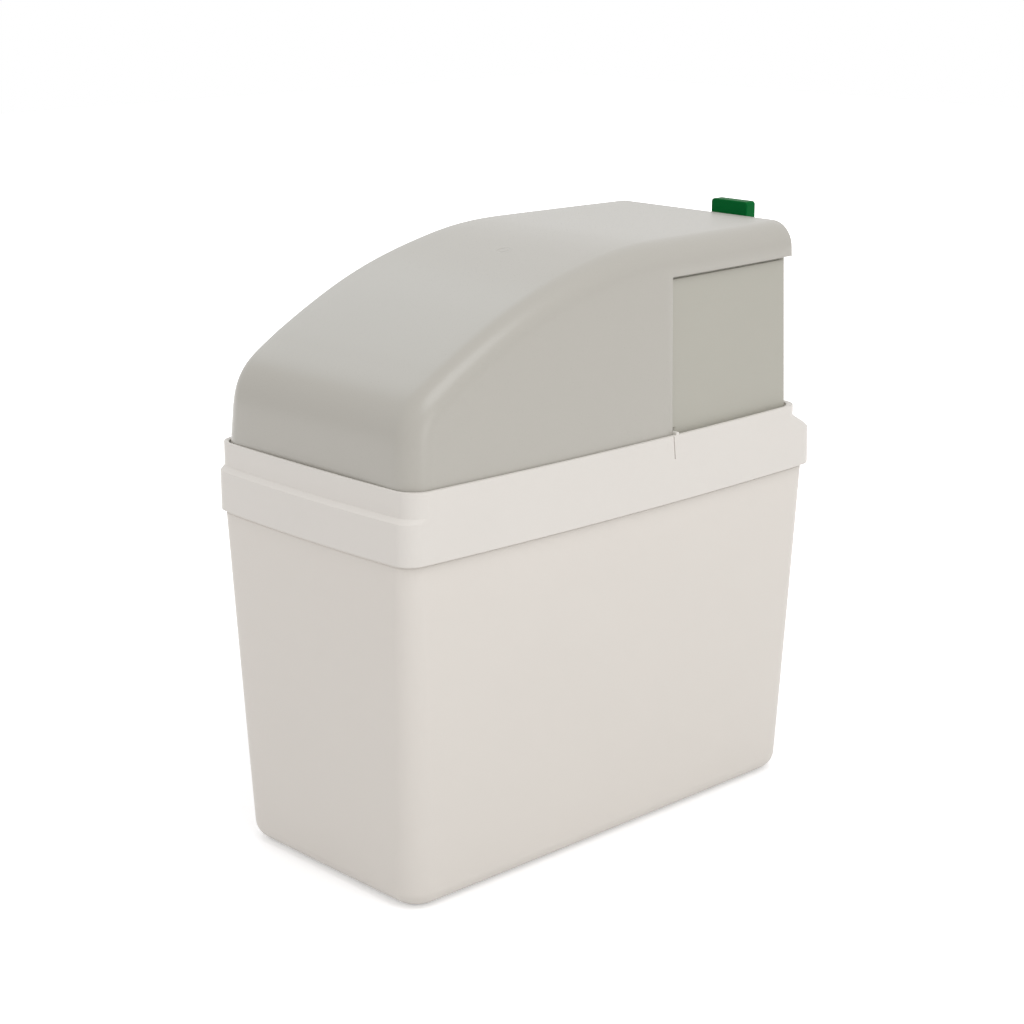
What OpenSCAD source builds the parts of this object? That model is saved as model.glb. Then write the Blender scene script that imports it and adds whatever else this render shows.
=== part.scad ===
// Twin-vessel block-salt water softener, mm, Z up, floor at Z = 0.
// X runs along the cabinet with the low end of the lid at -X, Y runs across it.

/* [Cabinet] */
// Length over the lip of the collar
body_length = 480; // [474:1:490]
// Width over the lip of the collar
body_width = 254; // [252:1:262]
// Height of the flat part of the lid
lid_top = 498.7; // [497:0.1:505]
// Height of the rim that the lid sits inside
rim_z = 343; // [342:0.5:345]
// Wall of the moulded tub
tub_wall = 3; // [2.5:0.1:3.2]
// Wall of the lid and of the rear cover
lid_wall = 2.6; // [2.2:0.1:3]
// Radius along the top edges of the lid
lid_round = 21.5; // [20:0.5:23]

/* [Vessels] */
// Outside diameter of each resin vessel
vessel_d = 84; // [76:1:94]
// Wall of each vessel
vessel_wall = 3; // [2.5:0.1:4]
// Outside diameter of the riser tubes
riser_d = 20; // [18:0.5:21]

/* [Valve] */
// Diameter of the changeover spool
spool_d = 18; // [16:0.5:18]
// Stroke of the changeover spool
spool_stroke = 14; // [8:1:16]
// Diameter of the meter turbine
turbine_d = 31; // [28:0.5:33]

/* [Bypass] */
// Diameter of the bypass plug
plug_d = 40; // [38:0.5:41]
// Outside diameter of the mains ports
port_d = 26.4; // [22:0.2:27]
// Width of the green handle
handle_width = 39.6; // [30:0.2:42]
// Thickness of the green handle
handle_thick = 9.8; // [9.4:0.2:12]
// How far the handle stands above the lid
handle_above = 8; // [3:0.5:10]

/* [Brine] */
// Outside diameter of the brine well tube
well_d = 60; // [56:1:62]
// Travel of the safety float
float_travel = 14; // [8:1:14]

/* [Clearances] */
// Radial running clearance of shafts, plug and spool
run_gap = 0.05; // [0.03:0.01:0.08]
// Gap around pieces that are pushed together
push_gap = 0.1; // [0.06:0.02:0.2]
// Gap around loose panels
loose_gap = 0.4; // [0.3:0.05:0.6]

/* [Hidden] */
$fn = 64;
half_l = body_length / 2;
half_w = body_width / 2;

// Collar and tub
bow_p = 4;
bow_q = 7.4;
lip_drop = 56;
ledge_drop = 23;
deck_gap = 4;
shelf_drop = 4.5;
web_t = 3;
lip_t = 3;
lip_r = 15;
lip_z = rim_z - lip_drop;
ledge_z = rim_z - ledge_drop;
tub_top = ledge_z - deck_gap;
shelf_z = rim_z - shelf_drop;
floor_z = 3.5;
foot_r = 15;
tub_set_x = 16;
tub_lean_x = 11;
tub_set_y = 18.2;
tub_lean_y = 13.2;
up_wall = 3.4;
front_set = 4.7;
rear_set = 23;
shelf_w = 11;
deck_l = 29;
up_x0 = -half_l + front_set;
up_x1 = half_l - rear_set;
deck_x = up_x1 - deck_l;

// Lid, partition and rear cover
lid_gap = 0.9;
lid_rear = 28.5;
lid_draft = 0.065;
lid_corner = 19;
skirt_drop = 28;
lid_x0 = up_x0 + up_wall + lid_gap;
lid_x1 = half_l - lid_rear;
lid_b = half_w - up_wall - lid_gap;
skirt_z = lid_top - skirt_drop;
rib_t = 2.4;
rib_h = 4;
rib_x = 60;
tech_l = 190.7;
part_x = half_l - tech_l;
part_t = 3;
seam_x = part_x - 0.5;
seam_lean = 6.5;
cover_gap = 1.7;
cover_rear = 36;
cover_set = 3.3;
cover_corner = 4.5;
cover_drop = 10.5;
cover_x0 = part_x + part_t + cover_gap;
cover_x1 = half_l - cover_rear;
cover_b = lid_b - cover_set;
cover_top = lid_top - cover_drop;

// Vessels and what stands in them
ves_rear = 100;
ves_gap = 8;
ves_r = vessel_d / 2;
ves_x = half_l - ves_rear;
ves_y = ves_r + ves_gap / 2;
ves_z0 = 18;
ves_foot = 18;
dome_h = 26;
bead_drop = 43;
bead_h = 4;
bead_w = 3;
bead_z = rim_z - bead_drop;
sock_z = bead_z + bead_h + 0.5;
neck_h = 13.5;
neck_top = sock_z + neck_h;
neck_r = 27;
ring_w = 3.4;
ring_h = 15;
bridge_w = 40;
bridge_h = 9;
bed_drop = 66;
riser_r = riser_d / 2;
riser_wall = 2;
riser_in = 16;
riser_top = neck_top + riser_in;
cone_r = 20;
cone_h = 13;
cone_top = 9;
sleeve_h = 8;
cage_r = 21;
cage_h = 20;
cage_rim = 8;
cage_drop = 14;
slot_w = 1.2;
nut_r = 36;
nut_h = 18;
seal_r = 25;
oring = 1.75;

// Valve
vb_rear = 55;
vb_l = 90;
vb_side = 39;
vb_h = 74;
sock_r = 33;
vb_x1 = half_l - vb_rear;
vb_x0 = vb_x1 - vb_l;
vb_y = half_w - vb_side;
vb_z0 = neck_top + 8;
vb_z1 = vb_z0 + vb_h;
post_x = vb_x1 - 10;
post_y = vb_y - 8;
post_r = 6;
spool_r = spool_d / 2;
spool_x = vb_x0 + 21;
spool_z = vb_z0 + 26;
spool_l = 2 * (vb_y - 24);
groove_w = 12;
end_plug_r = 12;
end_plug_h = 8.7;
way_r = 5;

// Bypass
hand_x = half_l;
hand_y = -16.5;
port_z = vb_z0 + 46;
port_l = 20;
port_step = 2;
port_lip = 3;
port_bore = 9;
plug_r = plug_d / 2;
barrel_wall = 4;
barrel_r = plug_r + barrel_wall;
noz_dy = plug_r - 6;
noz_r = 11;
port_seat = noz_dy + noz_r + 0.5;
flange_t = 6;
flange_h = 28;
flange_side = 24;
side_z = port_z - 6;
in_y = hand_y - noz_dy;
out_y = hand_y + noz_dy;
plug_z0 = port_z - 22;
plug_z1 = port_z + 20;
gland_h = 4;
stem_r = 8;
stem_z = vb_z1 + 24;
tang_r = 4;
tang_h = 31;
hub_r = 10;
hub_h = 22;
pin_r = 1.5;
pin_up = 10;
hand_round = 3;
hand_top = lid_top + handle_above;

// Meter and gears
gear_m = 1;
pin_t = 12;
mid_t = 36;
disc_t = 48;
gear_w = 4;
mesh_d = gear_m * (pin_t + mid_t) / 2;
mesh_x = 20.8;
meter = [vb_x1 - 30, in_y];
mid_ax = [meter[0] - mesh_x, meter[1] + sqrt(mesh_d * mesh_d - mesh_x * mesh_x)];
disc_ax = [mid_ax[0], mid_ax[1] + gear_m * (pin_t + disc_t) / 2];
mesh_a = atan2(mid_ax[1] - meter[1], mid_ax[0] - meter[0]);
gear_z = vb_z1 - 13;
chamber_z = vb_z1 - 36;
seal_t = 0.8;
cap_t = 6;
cap_side = 28;
cap_end = 38;
cap_z = vb_z1 + seal_t;
plate_r = 20;
plate_t = 3;
shaft_r = 1.5;
axle_r = 2;

// Brine side
brine_y = half_w - 61;
well_r = well_d / 2;
well_wall = 2;
well_x = part_x - 39.3;
well_top = tub_top + 2;
well_cap_w = 3;
well_cap_h = 13;
line_z = spool_z;
line_r = 4.75;
line_bore = 3.2;
line_bend = 20;
valve_z = well_top + 3;
valve_r = 14;
chamb_r = 9;
chamb_top = valve_z - 14;
chamb_z = chamb_top - 12 - float_travel;
poppet_r = 5;
poppet_h = 4;
float_z = 110;
float_h = 55;
rod_r = 2;
stop_h = 5;
rod_end = 25;
grid_z = 30;
grid_t = 4;
grid_set = 30;
leg_r = 7;
hole_r = 7;

// Outlets
drain_y = out_y + flange_side + 18.5;
drain_z = spool_z + 8;
drain_r = 6;
drain_bore = 4;
drain_l = 22;
over_y = half_w - 57;
over_z = lip_z - 25;
over_r = 9;
over_wall = 2;
over_bend = 14;
over_l = 26;
pad_r = 17;
pad_t = 8.5;
pad_x = half_l - 2.5;
screw_d = 5;

// Plan outlines: a rounded rectangle whose four sides bow outwards
function corner(cx, cy, r, a0) = [for (i = [0:6]) [cx + r * cos(a0 + 15 * i), cy + r * sin(a0 + 15 * i)]];
function between(a, b, m) = [for (i = [1:m - 1]) a + (b - a) * i / m];
function rounded(x0, x1, b, r) =
  let (c1 = corner(x1 - r, b - r, r, 0))
  let (c2 = corner(x0 + r, b - r, r, 90))
  let (c3 = corner(x0 + r, -b + r, r, 180))
  let (c4 = corner(x1 - r, -b + r, r, 270))
  concat(c1, between(c1[6], c2[0], 10), c2, between(c2[6], c3[0], 6),
    c3, between(c3[6], c4[0], 10), c4, between(c4[6], c1[0], 6));
function plan(x0, x1, b, r, p = bow_p, q = bow_q) =
  [for (v = rounded(x0, x1, b, r))
    [v[0] - p * v[0] / half_l * pow(v[1] / b, 2), v[1] - q * v[1] / b * pow(v[0] / half_l, 2)]];

// Solid through a stack of plan outlines, each given as [height, outline]
module loft(rings) {
  n = len(rings[0][1]);
  k = len(rings);
  pts = [for (g = rings) for (v = g[1]) [v[0], v[1], g[0]]];
  sides = [for (j = [0:k - 2]) for (i = [0:n - 1])
    let (a = j * n + i, b = j * n + (i + 1) % n)
    for (t = [[a, a + n, b], [b, a + n, b + n]]) t];
  base = [for (i = [0:n - 1]) i];
  lid_face = [for (i = [n - 1:-1:0]) (k - 1) * n + i];
  polyhedron(concat(pts), concat(sides, [base], [lid_face]));
}

// The tub: lower edge rounded, walls leaning out and bowing more towards the top
function tub_ring(z, w, inset = 0) =
  let (t = z / lip_z)
  let (x = half_l - tub_set_x + tub_lean_x * t - w - inset)
  plan(-x, x, half_w - tub_set_y + tub_lean_y * t - w - inset, max(6, 24 - 9 * t - w - inset),
    0.5 + (bow_p - 0.5) * t, 0.8 + (bow_q - 0.8) * t);
module tub_block(z0, z1, w, r) {
  loft(concat([for (a = [0:18:90]) let (z = z0 + r * (1 - cos(a))) [z, tub_ring(z, w, r * (1 - sin(a)))]],
    [[z1, tub_ring(z1, w)]]));
}

module brine_tank() {
  color([0.85, 0.83, 0.80])
  difference() {
    union() {
      difference() {
        tub_block(0, tub_top, 0, foot_r);
        tub_block(floor_z, tub_top + 5, tub_wall, foot_r - tub_wall);
      }
      // guides that hold the partition upright
      intersection() {
        tub_block(1, tub_top - 1, 1, foot_r);
        for (x = [part_x - loose_gap - 3, part_x + part_t + loose_gap]) {
          for (s = [-1, 1]) {
            translate([x, s * (half_w - 17) - 10, 30]) cube([3, 20, tub_top - 66]);
          }
        }
      }
      translate([pad_x - pad_t, over_y, over_z]) rotate([0, 90, 0]) cylinder(h = pad_t, r = pad_r);
    }
    translate([pad_x - 20, over_y, over_z]) rotate([0, 90, 0]) cylinder(h = 40, r = over_r + push_gap);
  }
}

module slab(z0, z1, outline) {
  translate([0, 0, z0]) linear_extrude(z1 - z0) polygon(outline);
}

module top_frame() {
  lower = plan(-half_l, half_l, half_w, lip_r);
  upper = plan(up_x0, up_x1, half_w, lip_r);
  inner = plan(up_x0 + up_wall, up_x1 - up_wall, half_w - up_wall, lip_r - up_wall);
  mouth = plan(up_x0 + shelf_w, deck_x, half_w - shelf_w - 0.5, 10);
  color([0.88, 0.87, 0.85])
  difference() {
    union() {
      slab(lip_z, ledge_z, lower);
      loft([[ledge_z, lower], [ledge_z + 2.7, plan(up_x0, half_l - 4.5, half_w, lip_r)],
        [ledge_z + 13, upper]]);
      slab(ledge_z + 12, rim_z, upper);
    }
    slab(lip_z - 1, tub_top, plan(-half_l + lip_t, half_l - lip_t, half_w - lip_t, lip_r - lip_t));
    slab(tub_top - 1, ledge_z + 1, mouth);
    slab(ledge_z, shelf_z - web_t, inner);
    slab(shelf_z - web_t - 1, rim_z, mouth);
    slab(shelf_z, rim_z + 1, inner);
    translate([part_x - loose_gap, -half_w - 5, ledge_z + 0.5]) {
      cube([part_t + 2 * loose_gap, body_width + 10, 60]);
    }
  }
}

module partition() {
  lo = half_w - 31;
  hi = half_w - 16;
  ear = half_w - 0.6;
  color([0.87, 0.86, 0.84])
  difference() {
    translate([part_x, 0, 0]) rotate([90, 0, 90]) linear_extrude(part_t) polygon([
      [-lo, floor_z + 2], [lo, floor_z + 2], [half_w - 27, 24], [hi, tub_top - 10], [hi, ledge_z + 1],
      [ear, ledge_z + 1], [ear, rim_z + 2], [-ear, rim_z + 2], [-ear, ledge_z + 1], [-hi, ledge_z + 1],
      [-hi, tub_top - 10], [-half_w + 27, 24]]);
    // brine passes under these arches
    for (y = [-60, 0, 60]) {
      translate([part_x - 1, y - 12, 0]) cube([part_t + 2, 24, 16]);
    }
    // hand grip
    translate([part_x - 1, -30, rim_z - 30]) cube([part_t + 2, 60, 16]);
  }
}

// Rear cover: box with a rounded top edge, open underneath
function cover_ring(z, w, inset) =
  plan(cover_x0 + w + inset, cover_x1 - w - inset,
    cover_b - lid_draft * (z - rim_z) - w - inset, max(2, cover_corner - w), 2, bow_q);
module cover_block(z0, w) {
  loft([[z0, cover_ring(z0, w, 0)], [cover_top - 15, cover_ring(cover_top - 15, w, 0)],
    [cover_top - 7 - w / 3, cover_ring(cover_top - 7, w, 4)], [cover_top - w, cover_ring(cover_top, w, 12)]]);
}

module rear_cover() {
  color([0.68, 0.67, 0.63])
  difference() {
    cover_block(shelf_z, 0);
    cover_block(shelf_z - 1, lid_wall);
    // mains necks, drain and brine line pass through open-bottomed notches
    translate([cover_x1 - 15, in_y - noz_r - 4, shelf_z - 1]) {
      cube([30, 2 * noz_dy + 2 * noz_r + 8, port_z + noz_r + 4 - shelf_z]);
    }
    translate([cover_x1 - 15, drain_y - drain_r - 5, shelf_z - 1]) {
      cube([30, 2 * drain_r + 10, drain_z + drain_r + 6 - shelf_z]);
    }
    translate([cover_x0 - 10, brine_y - 8, shelf_z - 1]) cube([20, 16, line_z + 9 - shelf_z]);
    for (s = [-1, 1]) {
      translate([post_x, s * post_y, cover_top - 10]) cylinder(h = 20, r = screw_d / 2 + 0.2);
    }
  }
}

module cover_screws() {
  color([0.62, 0.63, 0.65])
  for (s = [-1, 1]) {
    translate([post_x, s * post_y, cover_top]) {
      difference() {
        cylinder(h = 3, r = screw_d);
        translate([0, 0, 1.4]) cylinder(h = 3, r = 2, $fn = 6);
      }
      translate([0, 0, -18]) cylinder(h = 18.5, r = screw_d / 2 - push_gap);
    }
  }
}

// Lid: one convex hood from the drafted front over a long arc to the flat rear
function lid_path() = [
  [-half_l + 11.6, 0.2445], [-half_l + 13.8, 0.2745], [-half_l + 20.8, 0.3712], [-half_l + 31.5, 0.4412],
  [-half_l + 44, 0.4973], [-half_l + 60, 0.5594], [-half_l + 91, 0.6643], [-half_l + 123.5, 0.762],
  [-half_l + 156, 0.8408], [-half_l + 188.5, 0.9016], [-half_l + 222, 0.9505], [-half_l + 255, 0.9882],
  [-half_l + 300, 1]];
module lid_block(w) {
  r = lid_round - w;
  h = lid_top - rim_z;
  pts = concat(lid_path(), [[lid_x1, 1]]);
  n = len(pts) - 1;
  function side(x, z) = lid_b - lid_draft * (z - rim_z) - bow_q * pow(x / half_l, 2) - lid_round;
  intersection() {
    hull() {
      slab(shelf_z, shelf_z + 0.5, plan(lid_x0 + w, lid_x1 + 25, lid_b - w, lid_corner - w));
      for (i = [1:n - 1]) {
        d0 = pts[i] - pts[i - 1];
        d1 = pts[i + 1] - pts[i];
        a = atan2(d0[1] * h, d0[0]) / 2 + atan2(d1[1] * h, d1[0]) / 2;
        px = pts[i][0] + sin(a) * lid_round;
        pz = rim_z + pts[i][1] * h - cos(a) * lid_round;
        for (s = [-1, 1]) {
          translate([px, s * side(px, pz), pz]) sphere(r = r, $fn = 32);
        }
      }
      for (s = [-1, 1]) {
        translate([lid_x1, s * side(lid_x1, lid_top - lid_round), lid_top - lid_round]) {
          rotate([0, 90, 0]) cylinder(h = 10, r = r, $fn = 32);
        }
      }
    }
    translate([-body_length, -body_width, 0]) cube([body_length + lid_x1 - w, 2 * body_width, 2 * lid_top]);
  }
}

module lid() {
  color([0.72, 0.71, 0.68])
  difference() {
    lid_block(0);
    difference() {
      lid_block(lid_wall);
      // cross rib that stiffens the flat part
      translate([seam_x + rib_x, -half_w, lid_top - lid_wall - rib_h]) cube([rib_t, body_width, 2 * rib_h]);
    }
    slab(shelf_z - 1, shelf_z + 1, plan(lid_x0 + lid_wall, lid_x1, lid_b - lid_wall, lid_corner - lid_wall));
    // the rear half ends in a skirt, and the edge of the cut leans back as it rises
    translate([0, half_w, 0]) rotate([90, 0, 0]) linear_extrude(body_width) {
      polygon([[seam_x, shelf_z - 5], [body_length, shelf_z - 5], [body_length, skirt_z],
        [seam_x + seam_lean, skirt_z], [seam_x, rim_z]]);
    }
  }
}

module vessel_stand() {
  color([0.20, 0.20, 0.22])
  union() {
    for (s = [-1, 1]) {
      translate([ves_x, s * ves_y, floor_z + 0.3]) cylinder(h = ves_z0 - floor_z - 0.3, r = ves_r - 6);
      translate([ves_x, s * ves_y, ves_z0 - 5]) {
        difference() {
          cylinder(h = ring_h, r = ves_r + ring_w);
          translate([0, 0, 5]) cylinder(h = ring_h, r = ves_r + loose_gap);
        }
      }
    }
    translate([ves_x - bridge_w / 2, -ves_y, floor_z + 0.3]) cube([bridge_w, 2 * ves_y, bridge_h]);
  }
}

// Half section of a vessel, from the axis outwards
function vessel_half(w) =
  let (r = ves_r - w, z0 = ves_z0 + w, k = ves_foot - w, s0 = bead_z - dome_h - 10)
  concat([[0, z0]], [for (a = [0:15:90]) [r - k + k * sin(a), z0 + k - k * cos(a)]],
    [[r, s0]], [for (a = [21:21:84]) [neck_r - w + (ves_r - neck_r) * cos(a), s0 + dome_h * sin(a)]],
    [[neck_r - w, s0 + dome_h + 0.2]]);

module vessel() {
  color([0.18, 0.19, 0.21])
  difference() {
    union() {
      rotate_extrude() polygon(concat(vessel_half(0), [[neck_r, neck_top], [0, neck_top]]));
      translate([0, 0, bead_z]) cylinder(h = bead_h, r = neck_r + bead_w);
    }
    rotate_extrude() polygon(concat(vessel_half(vessel_wall),
      [[neck_r - vessel_wall, neck_top + 1], [0, neck_top + 1]]));
  }
}
module vessel_a() {
  translate([ves_x, -ves_y, 0]) vessel();
}
module vessel_b() {
  translate([ves_x, ves_y, 0]) vessel();
}

module resin_bed() {
  w = vessel_wall + loose_gap;
  top = bead_z - bed_drop;
  color([0.66, 0.44, 0.20])
  difference() {
    intersection() {
      rotate_extrude() polygon(concat(vessel_half(w), [[neck_r - w, neck_top], [0, neck_top]]));
      cylinder(h = top, r = vessel_d);
    }
    cylinder(h = neck_top, r = riser_r + 0.6);
    cylinder(h = ves_z0 + vessel_wall + cone_h + cone_top + sleeve_h + 1, r = cone_r + 1);
  }
}
module resin_bed_a() {
  translate([ves_x, -ves_y, 0]) resin_bed();
}
module resin_bed_b() {
  translate([ves_x, ves_y, 0]) resin_bed();
}

module riser() {
  z0 = ves_z0 + vessel_wall + cone_h + 1;
  color([0.90, 0.90, 0.88])
  translate([0, 0, z0])
  difference() {
    cylinder(h = riser_top - z0, r = riser_r);
    translate([0, 0, -1]) cylinder(h = riser_top - z0 + 2, r = riser_r - riser_wall);
  }
}
module riser_a() {
  translate([ves_x, -ves_y, 0]) riser();
}
module riser_b() {
  translate([ves_x, ves_y, 0]) riser();
}

module lower_strainer() {
  z0 = ves_z0 + vessel_wall + 0.3;
  color([0.16, 0.30, 0.52])
  translate([0, 0, z0])
  difference() {
    union() {
      cylinder(h = cone_h, r = cone_r);
      translate([0, 0, cone_h]) cylinder(h = cone_top, r1 = cone_r, r2 = riser_r + 3);
      translate([0, 0, cone_h + cone_top]) cylinder(h = sleeve_h, r = riser_r + 3);
    }
    translate([0, 0, 2]) cylinder(h = cone_h - 3, r = cone_r - 2.5);
    translate([0, 0, cone_h - 2]) cylinder(h = 3, r = riser_r - riser_wall);
    translate([0, 0, cone_h + 0.7]) cylinder(h = 20, r = riser_r + push_gap);
    for (a = [0:30:150]) {
      rotate([0, 0, a]) translate([-30, -slot_w / 2, 3.5]) cube([60, slot_w, cone_h - 6]);
    }
  }
}
module lower_strainer_a() {
  translate([ves_x, -ves_y, 0]) lower_strainer();
}
module lower_strainer_b() {
  translate([ves_x, ves_y, 0]) lower_strainer();
}

module upper_strainer() {
  color([0.16, 0.30, 0.52])
  translate([0, 0, bead_z - cage_drop])
  difference() {
    union() {
      cylinder(h = cage_h, r1 = riser_r + 4, r2 = cage_r);
      translate([0, 0, cage_h]) cylinder(h = cage_rim, r = cage_r);
    }
    translate([0, 0, 3]) cylinder(h = cage_h - 2.9, r1 = riser_r + 2, r2 = cage_r - 2.5);
    translate([0, 0, cage_h]) cylinder(h = cage_rim + 1, r = cage_r - 2.5);
    translate([0, 0, -1]) cylinder(h = 10, r = riser_r + push_gap);
    for (a = [0:30:150]) {
      rotate([0, 0, a]) translate([-30, -slot_w / 2, 6]) cube([60, slot_w, cage_h - 9]);
    }
  }
}
module upper_strainer_a() {
  translate([ves_x, -ves_y, 0]) upper_strainer();
}
module upper_strainer_b() {
  translate([ves_x, ves_y, 0]) upper_strainer();
}

module neck_seals() {
  color([0.07, 0.07, 0.07])
  for (s = [-1, 1]) {
    translate([ves_x, s * ves_y, neck_top + oring]) rotate_extrude() translate([seal_r, 0]) circle(r = oring);
  }
}

module neck_nuts() {
  color([0.12, 0.12, 0.13])
  for (s = [-1, 1]) {
    translate([ves_x, s * ves_y, bead_z - 4]) {
      difference() {
        union() {
          cylinder(h = nut_h, r = nut_r);
          for (a = [0:30:330]) {
            rotate([0, 0, a]) translate([nut_r - 2, -2.5, 0]) cube([4.5, 5, nut_h]);
          }
        }
        translate([0, 0, 3.8]) cylinder(h = nut_h + 2, r = sock_r + push_gap);
        translate([0, 0, -1]) cylinder(h = 10, r = neck_r + loose_gap);
      }
    }
  }
}

module bore_x(x0, x1, y, z, r) {
  translate([x0, y, z]) rotate([0, 90, 0]) cylinder(h = x1 - x0, r = r);
}
module bore_y(x, y0, y1, z, r) {
  translate([x, y0, z]) rotate([-90, 0, 0]) cylinder(h = y1 - y0, r = r);
}
module bore_z(x, y, z0, z1, r) {
  translate([x, y, z0]) cylinder(h = z1 - z0, r = r);
}

module gear_bay(grow) {
  bore_z(meter[0], meter[1], gear_z, vb_z1 + 1, plate_r + push_gap + grow);
  bore_z(mid_ax[0], mid_ax[1], gear_z, vb_z1 + 1, gear_m * mid_t / 2 + 1.5 + grow);
  bore_z(disc_ax[0], disc_ax[1], gear_z, vb_z1 + 1, gear_m * disc_t / 2 + 1.5 + grow);
}

module valve_body() {
  color([0.15, 0.15, 0.16])
  difference() {
    union() {
      translate([vb_x0, -vb_y, vb_z0]) cube([vb_x1 - vb_x0, 2 * vb_y, vb_z1 - vb_z0]);
      for (s = [-1, 1]) {
        bore_z(ves_x, s * ves_y, sock_z, vb_z0 + 1, sock_r);
        bore_z(post_x, s * post_y, vb_z1 - 1, cover_top - lid_wall - loose_gap, post_r);
      }
    }
    // sockets for the vessel necks and risers, and their ways up to the spool
    for (s = [-1, 1]) {
      bore_z(ves_x, s * ves_y, sock_z - 1, neck_top + 2 * oring + push_gap, neck_r + loose_gap);
      bore_z(ves_x, s * ves_y, sock_z, riser_top + 1, riser_r + push_gap);
      bore_z(ves_x, s * ves_y, riser_top, spool_z, 6);
      bore_x(spool_x, ves_x, s * ves_y, spool_z - 3, way_r);
      bore_z(spool_x + 2, s * ves_y, neck_top, spool_z, 3.8);
      bore_z(post_x, s * post_y, cover_top - 21, cover_top, screw_d / 2);
    }
    bore_y(spool_x, -vb_y - 1, vb_y + 1, spool_z, spool_r + run_gap);
    for (s = [-1, 1]) {
      bore_y(spool_x, s * (vb_y - 4) - 5, s * (vb_y - 4) + 5, spool_z, end_plug_r + push_gap);
    }
    // mains in through the meter, mains out, drain and brine
    bore_x(vb_x1 - 10, vb_x1 + 1, in_y, port_z, noz_r + push_gap);
    bore_x(meter[0], vb_x1, in_y, port_z, 5.5);
    bore_z(meter[0], meter[1], chamber_z, gear_z - 2, turbine_d / 2 + 1.5);
    bore_z(meter[0], meter[1], gear_z - plate_t, gear_z + 1, plate_r + push_gap);
    bore_z(meter[0], meter[1], chamber_z - 6, chamber_z + 1, axle_r + run_gap);
    bore_x(spool_x, meter[0] - turbine_d / 2, in_y, port_z - 3, way_r);
    bore_z(spool_x, in_y, spool_z, port_z - 3, way_r);
    bore_x(vb_x1 - 10, vb_x1 + 1, out_y, port_z, noz_r + push_gap);
    bore_x(spool_x, vb_x1, out_y, port_z, 5.5);
    bore_z(spool_x, out_y, spool_z, port_z, way_r);
    bore_x(spool_x, vb_x1 + 1, drain_y, drain_z, way_r);
    bore_x(vb_x1 - 8, vb_x1 + 1, drain_y, drain_z, drain_r + 2 + push_gap);
    bore_x(vb_x0 - 1, spool_x, brine_y, line_z, 3);
    bore_x(vb_x0 - 1, vb_x0 + 8, brine_y, line_z, 6 + push_gap);
    // gear train
    gear_bay(0);
    for (c = [mid_ax, disc_ax]) {
      bore_z(c[0], c[1], gear_z - 6, gear_z + 1, shaft_r + run_gap);
    }
    for (p = screw_xy()) {
      bore_z(p[0], p[1], vb_z1 - 14, vb_z1 + 1, 2 + push_gap);
    }
    for (y = [in_y - 18, out_y + 18]) {
      bore_x(vb_x1 - 14, vb_x1 + 1, y, port_z, 2.5 + push_gap);
    }
  }
}
function screw_xy() =
  [for (x = [vb_x0 + 6, vb_x1 - 6])
    for (y = [in_y - cap_side + 6, disc_ax[1] - 22, disc_ax[1] + cap_end - 6]) [x, y]];

module changeover_spool() {
  color([0.86, 0.84, 0.78])
  translate([spool_x, -spool_stroke / 2, spool_z]) rotate([-90, 0, 0])
  difference() {
    translate([0, 0, -spool_l / 2]) cylinder(h = spool_l, r = spool_r);
    for (y = [-ves_y + 4, out_y - 5.5, out_y + 18.5, ves_y - 4]) {
      translate([0, 0, y - groove_w / 2]) {
        difference() {
          cylinder(h = groove_w, r = spool_r + 1);
          translate([0, 0, -1]) cylinder(h = groove_w + 2, r = spool_r - 3);
        }
      }
    }
  }
}

module spool_plugs() {
  color([0.12, 0.12, 0.13])
  for (s = [-1, 1]) {
    translate([spool_x, s * vb_y, spool_z]) rotate([-90 * s, 0, 0]) {
      translate([0, 0, -end_plug_h]) cylinder(h = end_plug_h, r = end_plug_r);
      cylinder(h = 3, r = end_plug_r + 3);
      translate([0, 0, 2]) cylinder(h = 5, r = 7, $fn = 6);
    }
  }
}

function inv_deg(a) = tan(a) * 180 / PI - a;
function tooth_half(r, rp, t) =
  let (rb = rp * cos(20))
  90 / t - 5.73 / rp + inv_deg(20) - (r > rb ? inv_deg(acos(rb / r)) : 0);
function gear_pts(t) =
  let (rp = gear_m * t / 2, ra = rp + 0.75 * gear_m, rf = rp - 1.15 * gear_m)
  let (r0 = max(rf, rp * cos(20)))
  let (rr = concat([rf], [for (i = [0:4]) r0 + (ra - r0) * i / 4 + 0.0001 * (4 - i)]))
  [for (i = [0:t - 1]) for (j = [0:11])
    let (up = j < 6, r = up ? rr[j] : rr[11 - j], h = tooth_half(r, rp, t))
    let (a = 360 * i / t + (up ? -h : h))
    [r * cos(a), r * sin(a)]];
module spur(t, h, turn) {
  rotate([0, 0, turn]) linear_extrude(h) polygon(gear_pts(t));
}

module meter_turbine() {
  color([0.92, 0.92, 0.90])
  translate([meter[0], meter[1], 0]) {
    bore_z(0, 0, chamber_z - 5.5, gear_z + 6, axle_r);
    bore_z(0, 0, chamber_z + 2, chamber_z + 18, 4);
    for (a = [0:60:300]) {
      rotate([0, 0, a]) translate([2, -0.75, chamber_z + 3]) cube([turbine_d / 2 - 2, 1.5, 14]);
    }
    translate([0, 0, gear_z + 1.5]) spur(pin_t, gear_w, mesh_a);
  }
}

module meter_plate() {
  color([0.60, 0.60, 0.58])
  difference() {
    bore_z(meter[0], meter[1], gear_z - plate_t, gear_z, plate_r);
    bore_z(meter[0], meter[1], gear_z - plate_t - 1, gear_z + 1, axle_r + run_gap);
  }
}

module reduction_gear() {
  color([0.93, 0.92, 0.88])
  translate([mid_ax[0], mid_ax[1], 0]) {
    bore_z(0, 0, gear_z - 5.5, cap_z + 3, shaft_r);
    translate([0, 0, gear_z + 1.5]) spur(mid_t, gear_w, mesh_a + 180 + 180 / mid_t);
    translate([0, 0, gear_z + 5]) spur(pin_t, gear_w + 2, 90);
  }
}

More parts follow.
